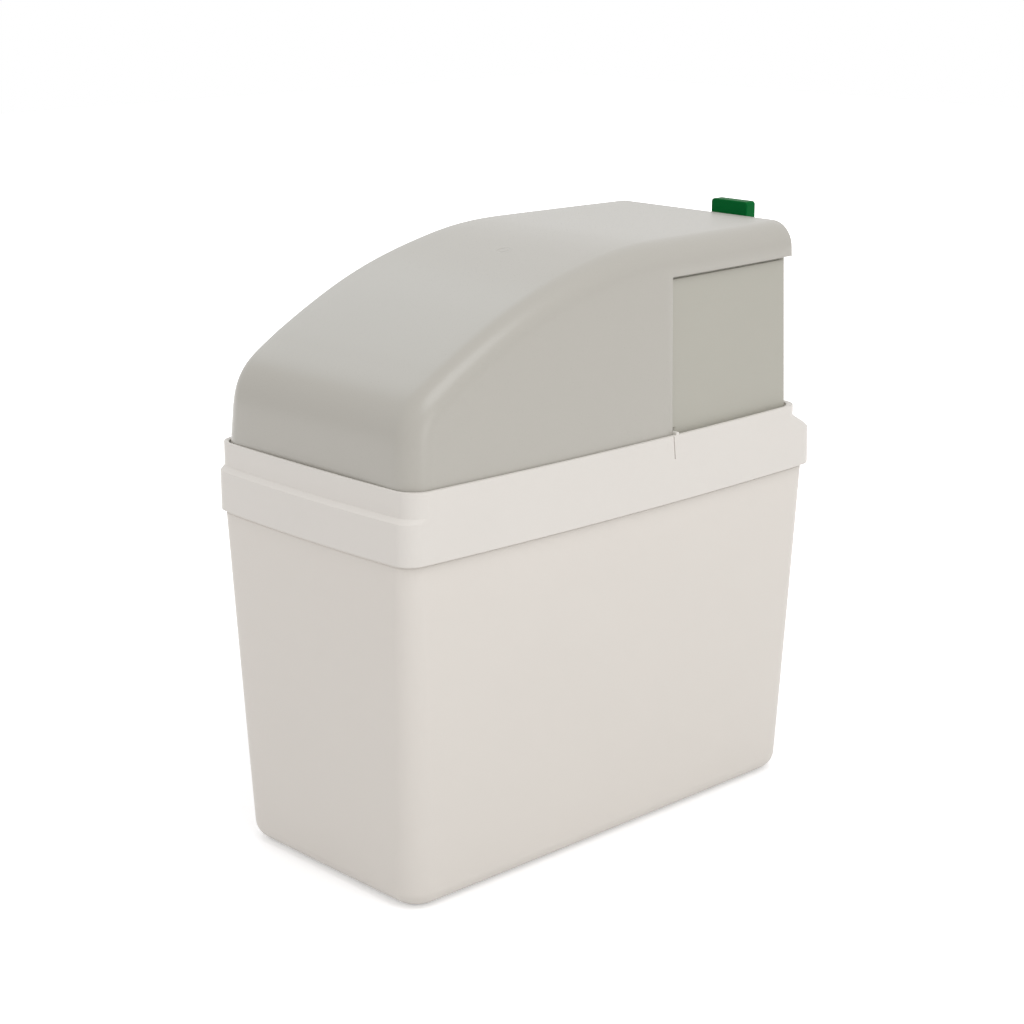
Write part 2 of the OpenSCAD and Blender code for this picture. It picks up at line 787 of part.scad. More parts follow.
module control_disc() {
  color([0.85, 0.42, 0.12])
  translate([disc_ax[0], disc_ax[1], 0]) {
    bore_z(0, 0, gear_z - 5.5, cap_z + 3, shaft_r);
    difference() {
      translate([0, 0, gear_z + 6.5]) spur(disc_t, gear_w + 0.5, 270 + 180 / disc_t);
      for (a = [0:60:300]) {
        rotate([0, 0, a]) translate([gear_m * disc_t / 2 - 10, 0, gear_z]) cylinder(h = 20, r = 4);
      }
    }
  }
}

module valve_cap() {
  color([0.24, 0.25, 0.27])
  difference() {
    union() {
      translate([vb_x0 + 1, in_y - cap_side, cap_z]) {
        cube([vb_l - 2, disc_ax[1] - in_y + cap_side + cap_end, cap_t]);
      }
      bore_z(disc_ax[0], disc_ax[1], cap_z + cap_t - 1, cap_z + cap_t + 3, 12);
    }
    for (c = [mid_ax, disc_ax]) {
      bore_z(c[0], c[1], cap_z - 1, cap_z + 3.5, shaft_r + run_gap);
    }
    for (p = screw_xy()) {
      bore_z(p[0], p[1], cap_z - 1, cap_z + 10, 2.4);
    }
  }
}

module cap_seal() {
  color([0.07, 0.07, 0.07])
  difference() {
    translate([vb_x0 + 2, in_y - cap_side + 1, vb_z1]) {
      cube([vb_l - 4, disc_ax[1] - in_y + cap_side + cap_end - 2, seal_t]);
    }
    translate([0, 0, 2]) gear_bay(0.5);
    for (p = screw_xy()) {
      bore_z(p[0], p[1], vb_z1 - 1, vb_z1 + 3, 2.4);
    }
  }
}

module cap_screws() {
  color([0.62, 0.63, 0.65])
  for (p = screw_xy()) {
    translate([p[0], p[1], cap_z + cap_t]) {
      difference() {
        cylinder(h = 3, r = 4);
        translate([0, 0, 1.4]) cylinder(h = 3, r = 1.8, $fn = 6);
      }
      translate([0, 0, -18]) cylinder(h = 18.5, r = 2);
    }
  }
}

// Bypass: flange and two nozzles on the valve side, an upright barrel, two mains ports across it
module mains(s, l, r) {
  translate([hand_x, hand_y, side_z - s * port_step]) rotate([-90 * s, 0, 0]) cylinder(h = l, r = r);
}
module bypass_body() {
  color([0.15, 0.15, 0.16])
  difference() {
    union() {
      translate([vb_x1 + 0.2, in_y - flange_side, port_z - flange_h / 2]) {
        cube([flange_t, 2 * (noz_dy + flange_side), flange_h]);
      }
      for (y = [in_y, out_y]) {
        bore_x(vb_x1 - 9.5, hand_x - 6, y, port_z, noz_r);
      }
      bore_z(hand_x, hand_y, plug_z0 - 4, plug_z1, barrel_r);
      for (s = [-1, 1]) {
        mains(s, port_seat, port_d / 2 + port_lip);
        mains(s, port_seat + port_l, port_d / 2);
      }
    }
    bore_z(hand_x, hand_y, plug_z0, plug_z1 + 1, plug_r + run_gap);
    for (y = [in_y, out_y]) {
      bore_x(vb_x1 - 20, hand_x, y, port_z, 5.5);
      translate([vb_x1 - 6, y, port_z]) rotate([0, 90, 0]) {
        rotate_extrude() translate([noz_r - 1, 0]) square([4, 2.8], center = true);
      }
    }
    for (s = [-1, 1]) {
      mains(s, port_seat + port_l + 1, port_bore);
    }
    for (y = [in_y - 18, out_y + 18]) {
      bore_x(vb_x1 - 1, vb_x1 + 10, y, port_z, 2.8);
    }
    for (a = [45:90:315]) {
      translate([hand_x, hand_y, plug_z1 - 8]) rotate([0, 0, a]) translate([plug_r + 2.1, 0, 0]) {
        cylinder(h = 20, r = 1.1);
      }
    }
  }
}

module bypass_seals() {
  color([0.07, 0.07, 0.07])
  for (y = [in_y, out_y]) {
    translate([vb_x1 - 6, y, port_z]) rotate([0, 90, 0]) {
      rotate_extrude() translate([noz_r - 1.3, 0]) circle(r = 1.25);
    }
  }
}

module flange_screws() {
  color([0.62, 0.63, 0.65])
  for (y = [in_y - 18, out_y + 18]) {
    bore_x(vb_x1 - 12, vb_x1 + 6.4, y, port_z, 2.5);
    bore_x(vb_x1 + 6.2, vb_x1 + 9.7, y, port_z, 4.5);
  }
}

module bypass_plug() {
  color([0.78, 0.78, 0.76])
  translate([hand_x, hand_y, 0])
  difference() {
    union() {
      bore_z(0, 0, plug_z0 + 0.3, plug_z1 - 0.3, plug_r);
      bore_z(0, 0, plug_z1 - 1, stem_z, stem_r);
      bore_z(0, 0, stem_z - 1, stem_z + tang_h, tang_r);
    }
    // service: two bent ways; bypass: one straight way below them
    for (s = [-1, 1]) {
      bore_x(-30, 0, s * noz_dy, port_z, 5);
      translate([0, s * noz_dy, port_z]) rotate([-90 * s, 0, 0]) cylinder(h = 30, r = 5);
    }
    bore_x(-30, 30, 0, side_z - 6, 5);
    translate([0, -20, stem_z + pin_up]) rotate([-90, 0, 0]) cylinder(h = 40, r = pin_r + push_gap / 2);
  }
}

module bypass_gland() {
  color([0.12, 0.12, 0.13])
  translate([hand_x, hand_y, plug_z1])
  difference() {
    union() {
      cylinder(h = gland_h, r = barrel_r);
      cylinder(h = gland_h + 5, r = stem_r + 4);
    }
    translate([0, 0, -1]) cylinder(h = 12, r = stem_r + run_gap);
    for (a = [45:90:315]) {
      rotate([0, 0, a]) translate([plug_r + 2.1, 0, -1]) cylinder(h = gland_h + 4, r = 1.2);
    }
  }
}

module gland_screws() {
  color([0.62, 0.63, 0.65])
  for (a = [45:90:315]) {
    translate([hand_x, hand_y, plug_z1]) rotate([0, 0, a]) translate([plug_r + 2.1, 0, 0]) {
      translate([0, 0, -7]) cylinder(h = gland_h + 7.2, r = 1);
      translate([0, 0, gland_h]) cylinder(h = 2, r = 1.8);
    }
  }
}

module bypass_handle() {
  fin_z = stem_z + hub_h;
  half = handle_width / 2;
  color([0.03, 0.33, 0.14])
  translate([hand_x, hand_y, 0])
  difference() {
    union() {
      bore_z(0, 0, stem_z + 0.3, fin_z + 1, hub_r);
      translate([-handle_thick / 2, 0, 0]) rotate([90, 0, 90]) linear_extrude(handle_thick) {
        translate([-half, fin_z]) square([handle_width, hand_top - fin_z - hand_round]);
        translate([-half + hand_round, fin_z]) square([handle_width - 2 * hand_round, hand_top - fin_z]);
        for (s = [-1, 1]) {
          translate([s * (half - hand_round), hand_top - hand_round]) circle(r = hand_round);
        }
      }
    }
    bore_z(0, 0, stem_z - 1, stem_z + tang_h + 0.5, tang_r + push_gap);
    translate([0, -20, stem_z + pin_up]) rotate([-90, 0, 0]) cylinder(h = 40, r = pin_r + push_gap / 2);
  }
}

module handle_pin() {
  color([0.62, 0.63, 0.65])
  bore_y(hand_x, hand_y - hub_r + 0.5, hand_y + hub_r - 0.5, stem_z + pin_up, pin_r);
}

module salt_grid() {
  x0 = -half_l + grid_set;
  x1 = part_x - 6;
  b = half_w - grid_set + 4;
  color([0.80, 0.79, 0.76])
  difference() {
    union() {
      slab(grid_z, grid_z + grid_t, plan(x0, x1, b, 18, 1, 1));
      for (x = [x0 + 22, x0 + 130, x1 - 14]) {
        for (y = [-b + 31, brine_y - well_r - leg_r]) {
          bore_z(x, y, floor_z + 0.5, grid_z + 1, leg_r);
        }
      }
    }
    bore_z(well_x, brine_y, grid_z - 10, grid_z + grid_t + 6, well_r + 1.5);
    for (x = [x0 + 45:34:x1 - 60]) {
      for (y = [-72:36:72]) {
        bore_z(x, y, grid_z - 10, grid_z + grid_t + 6, hole_r);
      }
    }
  }
}

module brine_well() {
  color([0.90, 0.90, 0.88])
  difference() {
    bore_z(well_x, brine_y, floor_z + 0.5, well_top, well_r);
    bore_z(well_x, brine_y, floor_z, well_top + 1, well_r - well_wall);
    for (a = [0:60:120]) {
      translate([well_x, brine_y, 18]) rotate([90, 0, a]) translate([0, 0, -50]) cylinder(h = 100, r = 5);
    }
  }
}

module well_cap() {
  color([0.20, 0.20, 0.22])
  difference() {
    bore_z(well_x, brine_y, valve_z - well_cap_h, valve_z, well_r + well_cap_w);
    bore_z(well_x, brine_y, valve_z - well_cap_h - 1, well_top, well_r + push_gap);
    bore_z(well_x, brine_y, well_top - 1, valve_z + 1, valve_r + push_gap);
  }
}

module brine_valve() {
  color([0.90, 0.90, 0.88])
  translate([well_x, brine_y, 0])
  difference() {
    union() {
      bore_z(0, 0, chamb_z - 4, valve_z + 1, valve_r);
      bore_z(0, 0, valve_z, valve_z + 3, valve_r + 4);
      bore_z(0, 0, valve_z + 2, line_z - line_bend - 1, line_bore - push_gap);
    }
    bore_z(0, 0, chamb_z, chamb_top, chamb_r);
    bore_z(0, 0, chamb_z - 5, chamb_z + 1, rod_r + run_gap);
    bore_z(0, 0, chamb_top - 1, line_z, 2);
    translate([0, -20, chamb_z + 10]) rotate([-90, 0, 0]) cylinder(h = 40, r = 3);
  }
}

module brine_float() {
  color([0.88, 0.55, 0.14])
  translate([well_x, brine_y, 0])
  difference() {
    bore_z(0, 0, float_z, float_z + float_h, well_r - 5);
    bore_z(0, 0, float_z - 1, float_z + float_h + 1, rod_r + push_gap);
  }
}

module float_rod() {
  color([0.70, 0.71, 0.72])
  translate([well_x, brine_y, 0]) {
    bore_z(0, 0, float_z - stop_h - rod_end, chamb_z + poppet_h + 1, rod_r);
    bore_z(0, 0, chamb_z + 4, chamb_z + 4 + poppet_h, poppet_r);
    for (z = [float_z - stop_h, float_z + float_h]) {
      bore_z(0, 0, z, z + stop_h, poppet_r);
    }
  }
}

module brine_line() {
  color([0.92, 0.92, 0.91])
  difference() {
    brine_path(line_r, 0);
    brine_path(line_bore, 1);
  }
}
module brine_path(r, over) {
  bend = line_bend;
  bore_x(well_x + bend, vb_x0 - 12 + over, brine_y, line_z, r);
  bore_z(well_x, brine_y, valve_z + 3.5 - over, line_z - bend, r);
  translate([well_x + bend, brine_y, line_z - bend]) rotate([90, 0, 0]) {
    rotate_extrude(angle = 90, start = 90) translate([bend, 0]) circle(r = r);
  }
}

module brine_spigot() {
  color([0.20, 0.20, 0.22])
  difference() {
    union() {
      bore_x(vb_x0 - 26, vb_x0 - 8, brine_y, line_z, line_bore - push_gap);
      bore_x(vb_x0 - 11, vb_x0 - 2, brine_y, line_z, 8);
      bore_x(vb_x0 - 3, vb_x0 + 7.5, brine_y, line_z, 6);
    }
    bore_x(vb_x0 - 30, vb_x0 + 10, brine_y, line_z, 2);
  }
}

module drain_spigot() {
  color([0.20, 0.20, 0.22])
  difference() {
    union() {
      bore_x(vb_x1 - 7.5, vb_x1 + 1, drain_y, drain_z, drain_r + 2);
      bore_x(vb_x1 + 0.3, vb_x1 + 5, drain_y, drain_z, drain_r + 4);
      bore_x(vb_x1 + 4, vb_x1 + 5 + drain_l, drain_y, drain_z, drain_r);
    }
    bore_x(vb_x1 - 10, vb_x1 + drain_l + 6, drain_y, drain_z, drain_bore);
  }
}

module overflow_elbow() {
  color([0.20, 0.20, 0.22])
  difference() {
    over_path(over_r, 0);
    over_path(over_r - over_wall, 1);
  }
  color([0.20, 0.20, 0.22])
  difference() {
    bore_x(pad_x + 1.6, pad_x + 5, over_y, over_z, pad_r - 2);
    bore_x(pad_x, pad_x + 8, over_y, over_z, over_r - 1);
  }
}
module over_path(r, over) {
  bend = over_bend;
  x1 = pad_x + 8;
  bore_x(pad_x - 19 - over, x1, over_y, over_z, r);
  translate([x1, over_y, over_z - bend]) rotate([90, 0, 0]) {
    rotate_extrude(angle = 90) translate([bend, 0]) circle(r = r);
  }
  bore_z(x1 + bend, over_y, over_z - bend - over_l - over, over_z - bend, r);
}

module overflow_nut() {
  color([0.20, 0.20, 0.22])
  difference() {
    translate([pad_x - pad_t - 7.5, over_y, over_z]) rotate([0, 90, 0]) {
      cylinder(h = 7.2, r = pad_r - 2, $fn = 6);
    }
    bore_x(pad_x - 20, pad_x, over_y, over_z, over_r + push_gap);
  }
}

module overflow_gasket() {
  color([0.07, 0.07, 0.07])
  difference() {
    bore_x(pad_x, pad_x + 1.6, over_y, over_z, pad_r - 3);
    bore_x(pad_x - 1, pad_x + 3, over_y, over_z, over_r + push_gap);
  }
}

brine_tank();
top_frame();
partition();
rear_cover();
cover_screws();
lid();
vessel_stand();
vessel_a();
vessel_b();
resin_bed_a();
resin_bed_b();
riser_a();
riser_b();
lower_strainer_a();
lower_strainer_b();
upper_strainer_a();
upper_strainer_b();
neck_seals();
neck_nuts();
valve_body();
changeover_spool();
spool_plugs();
meter_turbine();
meter_plate();
reduction_gear();
control_disc();
valve_cap();
cap_seal();
cap_screws();
bypass_body();
bypass_seals();
flange_screws();
bypass_plug();
bypass_gland();
gland_screws();
bypass_handle();
handle_pin();
salt_grid();
brine_well();
well_cap();
brine_valve();
brine_float();
float_rod();
brine_line();
brine_spigot();
drain_spigot();
overflow_elbow();
overflow_nut();
overflow_gasket();
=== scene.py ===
from math import atan2, cos, hypot, pi, radians, sin
import bmesh
import bpy
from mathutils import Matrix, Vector, kdtree


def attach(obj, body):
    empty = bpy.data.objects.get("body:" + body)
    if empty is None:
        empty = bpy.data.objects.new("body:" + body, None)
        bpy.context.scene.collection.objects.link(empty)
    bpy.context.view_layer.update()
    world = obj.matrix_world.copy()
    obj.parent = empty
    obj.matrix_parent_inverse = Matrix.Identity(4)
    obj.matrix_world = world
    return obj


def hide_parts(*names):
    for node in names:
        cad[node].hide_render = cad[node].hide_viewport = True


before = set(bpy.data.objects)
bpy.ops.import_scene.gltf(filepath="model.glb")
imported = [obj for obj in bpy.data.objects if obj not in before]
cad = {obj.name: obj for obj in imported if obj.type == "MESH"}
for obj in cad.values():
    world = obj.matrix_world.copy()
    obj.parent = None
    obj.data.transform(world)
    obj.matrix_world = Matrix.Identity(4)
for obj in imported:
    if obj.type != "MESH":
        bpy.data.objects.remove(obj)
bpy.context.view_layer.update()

# Tub
# The brine tub is one injection moulding in off-white polypropylene, drafted so that it leaves its mould,
# with sides that bow outwards towards the top. It stands on its flat floor and carries everything else.
mm = 0.001
half_l, half_w, end_bow, side_bow = 240.0, 127.0, 4.0, 7.4
tub_top, lip_z, neck_z, tub_wall, tub_floor = 316.0, 287.0, 283.6, 3.0, 3.5
foot_r, floor_r, least_corner = 15.0, 12.0, 6.0
corner_steps, long_steps, short_steps, wall_steps = 10, 28, 16, 8
quarter_turn = [radians(a) for a in range(0, 91, 10)]
# In from the ends and from the long sides, corner radius, bow of the ends and of the long sides.
tub_foot = (16.0, 18.2, 24.0, 0.5, 0.8)
tub_lip = (3.7, 3.8, 15.0, end_bow, side_bow)


def bowed_outline(x0, x1, half, r, bow_x, bow_y):
    """An anticlockwise outline in mm: corners of radius r, ends that bow by bow_x and long sides by bow_y."""
    corners = []
    for cx, cy, start in ((x1 - r, half - r, 0), (x0 + r, half - r, 90),
                          (x0 + r, r - half, 180), (x1 - r, r - half, 270)):
        turn = [radians(start + 90 * i / corner_steps) for i in range(corner_steps + 1)]
        corners.append([(cx + r * cos(a), cy + r * sin(a)) for a in turn])
    ring = []
    for k, corner in enumerate(corners):
        ring += corner
        (ax, ay), (bx, by) = corner[-1], corners[(k + 1) % 4][0]
        steps = long_steps if k % 2 == 0 else short_steps
        ring += [(ax + (bx - ax) * i / steps, ay + (by - ay) * i / steps) for i in range(1, steps)]
    return [(x - bow_x * x / half_l * (y / half) ** 2, y - bow_y * y / half * (x / half_l) ** 2)
            for x, y in ring]


def at_height(outline, z):
    return [Vector((x, y, z)) * mm for x, y in outline]


def name_new(name):
    """The primitive that was just added, under its piece's name."""
    piece = bpy.context.active_object
    piece.name = piece.data.name = name
    return piece


def start_ring(name, ring, filled):
    """A circle primitive laid on the first ring of a moulding, left in edit mode with its edges selected."""
    bpy.ops.object.select_all(action="DESELECT")
    fill = "NGON" if filled else "NOTHING"
    bpy.ops.mesh.primitive_circle_add(vertices=len(ring), radius=half_w * mm, fill_type=fill)
    piece = name_new(name)
    piece.location = (0, 0, 0)
    for v, place in zip(piece.data.vertices, ring):
        v.co = place
    bpy.ops.object.mode_set(mode="EDIT")
    bpy.ops.mesh.select_mode(type="EDGE")
    bpy.ops.mesh.select_all(action="SELECT")
    return piece


def pull_edges(piece, here, there):
    """Extrudes the selected chain of edges, which lies at here, and moves the new chain to there."""
    bpy.ops.mesh.extrude_edges_indiv()
    near = kdtree.KDTree(len(here))
    for i, place in enumerate(here):
        near.insert(place, i)
    near.balance()
    bm = bmesh.from_edit_mesh(piece.data)
    for v in [v for v in bm.verts if v.select]:
        v.co = there[near.find(v.co)[1]]
    bmesh.update_edit_mesh(piece.data)
    return there


def pull_through(piece, rings):
    """Extrudes the selected chain of edges, which lies at the first ring, through all the others."""
    here = rings[0]
    for there in rings[1:]:
        here = pull_edges(piece, here, there)


def weld(gap):
    """Selects all of the piece in edit mode and merges points that lie within a gap in mm."""
    bpy.ops.mesh.select_all(action="SELECT")
    bpy.ops.mesh.remove_doubles(threshold=gap * mm)


ring_weld, soft_angle = 0.01, 40


def close_piece(piece, angle):
    """Merges doubles, turns the faces outwards and leaves edit mode with smooth shading."""
    weld(ring_weld)
    bpy.ops.mesh.normals_make_consistent(inside=False)
    bpy.ops.object.mode_set(mode="OBJECT")
    bpy.ops.object.shade_smooth_by_angle(angle=radians(angle))


def tub_ring(z, wall, inset):
    """One ring of the tub between its foot and its lip, set in by a wall and by the round at its floor."""
    t = min(z / lip_z, 1.0)
    ends, sides, corner, bow_x, bow_y = (a + (b - a) * t for a, b in zip(tub_foot, tub_lip))
    x, y = half_l - ends - wall - inset, half_w - sides - wall - inset
    return at_height(bowed_outline(-x, x, y, max(least_corner, corner - wall - inset), bow_x, bow_y), z)


def tub_side(z0, z1, wall, r):
    """Rings of the tub's outside or inside, from the round at its floor up the wall."""
    foot = [(z0 + r * (1 - cos(a)), r * (1 - sin(a))) for a in quarter_turn]
    rise = [(z0 + r + (z1 - z0 - r) * i / wall_steps, 0) for i in range(1, wall_steps + 1)]
    return [tub_ring(z, wall, inset) for z, inset in foot + rise]


neck = [(284.3, 0.1), (284.6, 0.2), (284.8, 0.4), (286.5, 0.4), (287.4, 1.2), (tub_top, 1.2)]
outside = tub_side(0, neck_z, 0, foot_r) + [tub_ring(z, 0, inset) for z, inset in neck]
inside = tub_side(tub_floor, tub_top, tub_wall, floor_r)
tub = start_ring("tub", outside[0], True)
pull_through(tub, outside + inside[::-1])
bpy.ops.mesh.edge_face_add()
close_piece(tub, soft_angle)


def pick(piece):
    """Selects this piece alone."""
    bpy.ops.object.select_all(action="DESELECT")
    piece.select_set(True)
    bpy.context.view_layer.objects.active = piece


def edit_more(piece):
    """Opens a finished moulding again with nothing selected, so that more can be done to it."""
    pick(piece)
    bpy.ops.object.mode_set(mode="EDIT")
    bpy.ops.mesh.select_mode(type="EDGE")
    bpy.ops.mesh.select_all(action="DESELECT")


def select_edges(piece, wanted):
    """Selects those edges of the piece in edit mode that pass a test."""
    bm = bmesh.from_edit_mesh(piece.data)
    for e in bm.edges:
        e.select_set(wanted(e))
    bmesh.update_edit_mesh(piece.data)


round_steps, boss_facets, edge_r = 3, 64, 0.8
along = {"X": (0, pi / 2, 0), "Y": (pi / 2, 0, 0), "Z": (0, 0, 0)}


def add_block(piece, low, high, round_off):
    """Adds a block between two corners in mm, with rounded edges, and leaves it selected in edit mode."""
    edit_more(piece)
    centre = [(a + b) / 2 * mm for a, b in zip(low, high)]
    bpy.ops.mesh.primitive_cube_add(size=1, location=centre)
    bpy.ops.transform.resize(value=[(b - a) * mm for a, b in zip(low, high)], center_override=centre)
    bpy.ops.mesh.bevel(offset=round_off * mm, segments=round_steps)


def add_boss(piece, centre, axis, radius, height):
    """Adds a round boss in mm along an axis, with rounded ends."""
    edit_more(piece)
    bpy.ops.mesh.primitive_cylinder_add(vertices=boss_facets, radius=radius * mm, depth=height * mm,
                                        location=[c * mm for c in centre], rotation=along[axis])
    select_edges(piece, lambda e: e.select and any(len(f.verts) > 4 for f in e.link_faces))
    bpy.ops.mesh.bevel(offset=edge_r * mm, segments=round_steps)
    bpy.ops.object.mode_set(mode="OBJECT")


def either_side(s, near, far):
    """Lower and upper y of a block on the far side, where s is 1, or on the near side, where it is -1."""
    return sorted((s * near, s * far))


guide_xs, guide_t, guide_z0, guide_z1, guide_round = (45.9, 52.7), 3.0, 30.0, 280.0, 0.5
guide_in, guide_out, guide_flare = 100.0, 108.4, 11.5
for guide_x in guide_xs:
    for s in (-1, 1):
        y0, y1 = either_side(s, guide_in, guide_out)
        add_block(tub, (guide_x, y0, guide_z0), (guide_x + guide_t, y1, guide_z1), guide_round)
        bm = bmesh.from_edit_mesh(tub.data)
        for v in bm.verts:
            upper = v.co.z > (guide_z0 + guide_z1) / 2 * mm
            if v.select and upper and s * v.co.y > (guide_in + guide_out) / 2 * mm:
                v.co.y += s * guide_flare * mm
        bmesh.update_edit_mesh(tub.data)
        bpy.ops.object.mode_set(mode="OBJECT")
outlet_at, outlet_r, outlet_t = (233.25, 70.0, 262.0), 17.0, 8.5
add_boss(tub, outlet_at, "X", outlet_r, outlet_t)


def srgb(r, g, b):
    """A colour in display values, 0 to 255, as the linear values that a shader takes."""
    shares = [c / 255 for c in (r, g, b)]
    return tuple(c / 12.92 if c <= 0.04045 else ((c + 0.055) / 1.055) ** 2.4 for c in shares) + (1.0,)


def set_inputs(node, values):
    """Sets inputs of a shader node, given by name or number, to plain values."""
    for key, value in values.items():
        node.inputs[key].default_value = value


def add_node(nodes, kind, values, operation=None):
    """A shader node with its operation and some of its inputs set."""
    node = nodes.new("ShaderNode" + kind)
    if operation:
        node.operation = operation
    set_inputs(node, values)
    return node


def moulded_skin():
    """Skin of an injection moulding: slow tone drift from the melt flow and a fine spark-eroded grain."""
    group = bpy.data.node_groups.new("moulded_skin", "ShaderNodeTree")
    for name, way, kind in (("Colour", "INPUT", "Color"), ("Drift", "INPUT", "Float"),
                            ("Grain", "INPUT", "Float"), ("Roughness", "INPUT", "Float"),
                            ("Colour", "OUTPUT", "Color"), ("Roughness", "OUTPUT", "Float"),
                            ("Height", "OUTPUT", "Float")):
        group.interface.new_socket(name, in_out=way, socket_type="NodeSocket" + kind)
    nodes, link = group.nodes, group.links.new
    given, out = nodes.new("NodeGroupInput"), nodes.new("NodeGroupOutput")
    speck_swing = 0.08
    place = add_node(nodes, "TexCoord", {})
    flow = add_node(nodes, "TexNoise", {"Scale": 7.0, "Detail": 3.0, "Distortion": 0.6})
    grain = add_node(nodes, "TexNoise", {"Detail": 4.0, "Roughness": 0.6})
    centred = add_node(nodes, "Math", {1: 0.5}, "SUBTRACT")
    tone = add_node(nodes, "Math", {2: 1.0}, "MULTIPLY_ADD")
    tinted = add_node(nodes, "VectorMath", {}, "SCALE")
    speck = add_node(nodes, "Math", {1: 2 * speck_swing, 2: -speck_swing}, "MULTIPLY_ADD")
    rough = add_node(nodes, "Math", {}, "ADD")
    link(place.outputs["Object"], flow.inputs["Vector"])
    link(place.outputs["Object"], grain.inputs["Vector"])
    link(given.outputs["Grain"], grain.inputs["Scale"])
    link(flow.outputs["Fac"], centred.inputs[0])
    link(centred.outputs[0], tone.inputs[0])
    link(given.outputs["Drift"], tone.inputs[1])
    link(given.outputs["Colour"], tinted.inputs[0])
    link(tone.outputs[0], tinted.inputs["Scale"])
    link(tinted.outputs[0], out.inputs["Colour"])
    link(grain.outputs["Fac"], speck.inputs[0])
    link(given.outputs["Roughness"], rough.inputs[0])
    link(speck.outputs[0], rough.inputs[1])
    link(rough.outputs[0], out.inputs["Roughness"])
    link(grain.outputs["Fac"], out.inputs["Height"])
    return group


skin = moulded_skin()


def new_finish(name, colour):
    """A new material with its nodes, the call that links them and its shader."""
    finish = bpy.data.materials.new(name)
    finish.use_nodes = True
    finish.diffuse_color = colour
    nodes = finish.node_tree.nodes
    return finish, nodes, finish.node_tree.links.new, nodes["Principled BSDF"]


def moulding(name, colour, rough, grain=900.0, depth=0.02, drift=0.05, metal=0.0, shine=0.5):
    """A moulded or machined finish: colour, roughness and bump from the skin, depth of the grain in mm."""
    finish, nodes, link, shader = new_finish(name, colour)
    set_inputs(shader, {"Metallic": metal, "Specular IOR Level": shine})
    coat = nodes.new("ShaderNodeGroup")
    coat.node_tree = skin
    set_inputs(coat, {"Colour": colour, "Drift": drift, "Grain": grain, "Roughness": rough})
    bump = add_node(nodes, "Bump", {"Strength": 0.6, "Distance": depth * mm})
    link(coat.outputs["Colour"], shader.inputs["Base Color"])
    link(coat.outputs["Roughness"], shader.inputs["Roughness"])
    link(coat.outputs["Height"], bump.inputs["Height"])
    link(bump.outputs["Normal"], shader.inputs["Normal"])
    return finish


def dress(piece, finish, body, slot, *stands_for):
    """Gives a new piece its finish and its body and hides the CAD nodes that it replaces. The slot is not
    used.
    """
    piece.data.materials.clear()
    piece.data.materials.append(finish)
    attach(piece, body)
    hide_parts(*stands_for)


tub_white = moulding("tub_white", srgb(217, 212, 205), 0.42, grain=700, depth=0.015, drift=0.03, shine=0.35)
dress(tub, tub_white, "cabinet", "tub_white", "brine_tank")


# Vessel stand
# A dark moulded foot that drops onto the tub floor and holds the two resin vessels upright and apart.
# It is the glass-filled plastic of the fittings, so it is a little coarser than the cabinet.
def paint(finish, *names):
    """Gives a finish to CAD nodes, which keep their own solid."""
    for name in names:
        piece = cad[name]
        if not piece.material_slots:
            piece.data.materials.append(finish)
        for slot in piece.material_slots:
            slot.material = finish


fitting_dark = moulding("fitting_dark", srgb(52, 52, 55), 0.5, grain=600, depth=0.03, drift=0.1)
paint(fitting_dark, "vessel_stand")

# Resin vessels, beds, risers and strainers
# Two blow-moulded bottles of dark polyethylene stand side by side. Each holds amber resin beads,
# a white extruded riser down its middle and a slotted blue strainer at either end of it.
vessel_dark = moulding("vessel_dark", srgb(48, 50, 55), 0.38, grain=260, depth=0.05, drift=0.12)
paint(vessel_dark, "vessel_a", "vessel_b")
pipe_white = moulding("pipe_white", srgb(230, 230, 226), 0.35, grain=500, depth=0.01, drift=0.03)
paint(pipe_white, "riser_a", "riser_b")
strainer_blue = moulding("strainer_blue", srgb(44, 80, 136), 0.42, grain=700, depth=0.02, drift=0.08)
paint(strainer_blue, "lower_strainer_a", "lower_strainer_b", "upper_strainer_a", "upper_strainer_b")


def packed(name, colour, cells, depth, rough):
    """Packed grains or closed foam: rounded cells, each a little lighter or darker than the next."""
    finish, nodes, link, shader = new_finish(name, colour)
    set_inputs(shader, {"Roughness": rough})
    place = add_node(nodes, "TexCoord", {})
    cell = add_node(nodes, "TexVoronoi", {"Scale": cells})
    shade = add_node(nodes, "MapRange", {"To Min": 0.72, "To Max": 1.12})
    tint = add_node(nodes, "VectorMath", {0: colour[:3]}, "SCALE")
    bump = add_node(nodes, "Bump", {"Distance": depth * mm})
    bump.invert = True
    link(place.outputs["Object"], cell.inputs["Vector"])
    link(cell.outputs["Color"], shade.inputs["Value"])
    link(shade.outputs["Result"], tint.inputs["Scale"])
    link(tint.outputs[0], shader.inputs["Base Color"])
    link(cell.outputs["Distance"], bump.inputs["Height"])
    link(bump.outputs["Normal"], shader.inputs["Normal"])
    return finish


resin_amber = packed("resin_amber", srgb(170, 112, 52), 1400, 0.4, 0.35)
paint(resin_amber, "resin_bed_a", "resin_bed_b")

# Neck seals and nuts
# A rubber ring sits on each vessel neck and a ribbed nut draws the neck up into the valve body.
# The rings are black moulded rubber and the nuts are the valve's own black plastic.
seal_black = moulding("seal_black", srgb(24, 24, 24), 0.75, grain=1200, depth=0.02, drift=0.1)
valve_black = moulding("valve_black", srgb(40, 40, 43), 0.46, grain=650, depth=0.03, drift=0.12)
paint(seal_black, "neck_seals")
paint(valve_black, "neck_nuts")

# Valve body, changeover spool and end plugs
# A thick glass-filled block with drilled water ways. The cream spool slides across it between two
# threaded end plugs and sends the water through one vessel or the other.
spool_cream = moulding("spool_cream", srgb(220, 215, 200), 0.3, grain=300, depth=0.01, drift=0.03)
paint(valve_black, "valve_body", "spool_plugs")
paint(spool_cream, "changeover_spool")

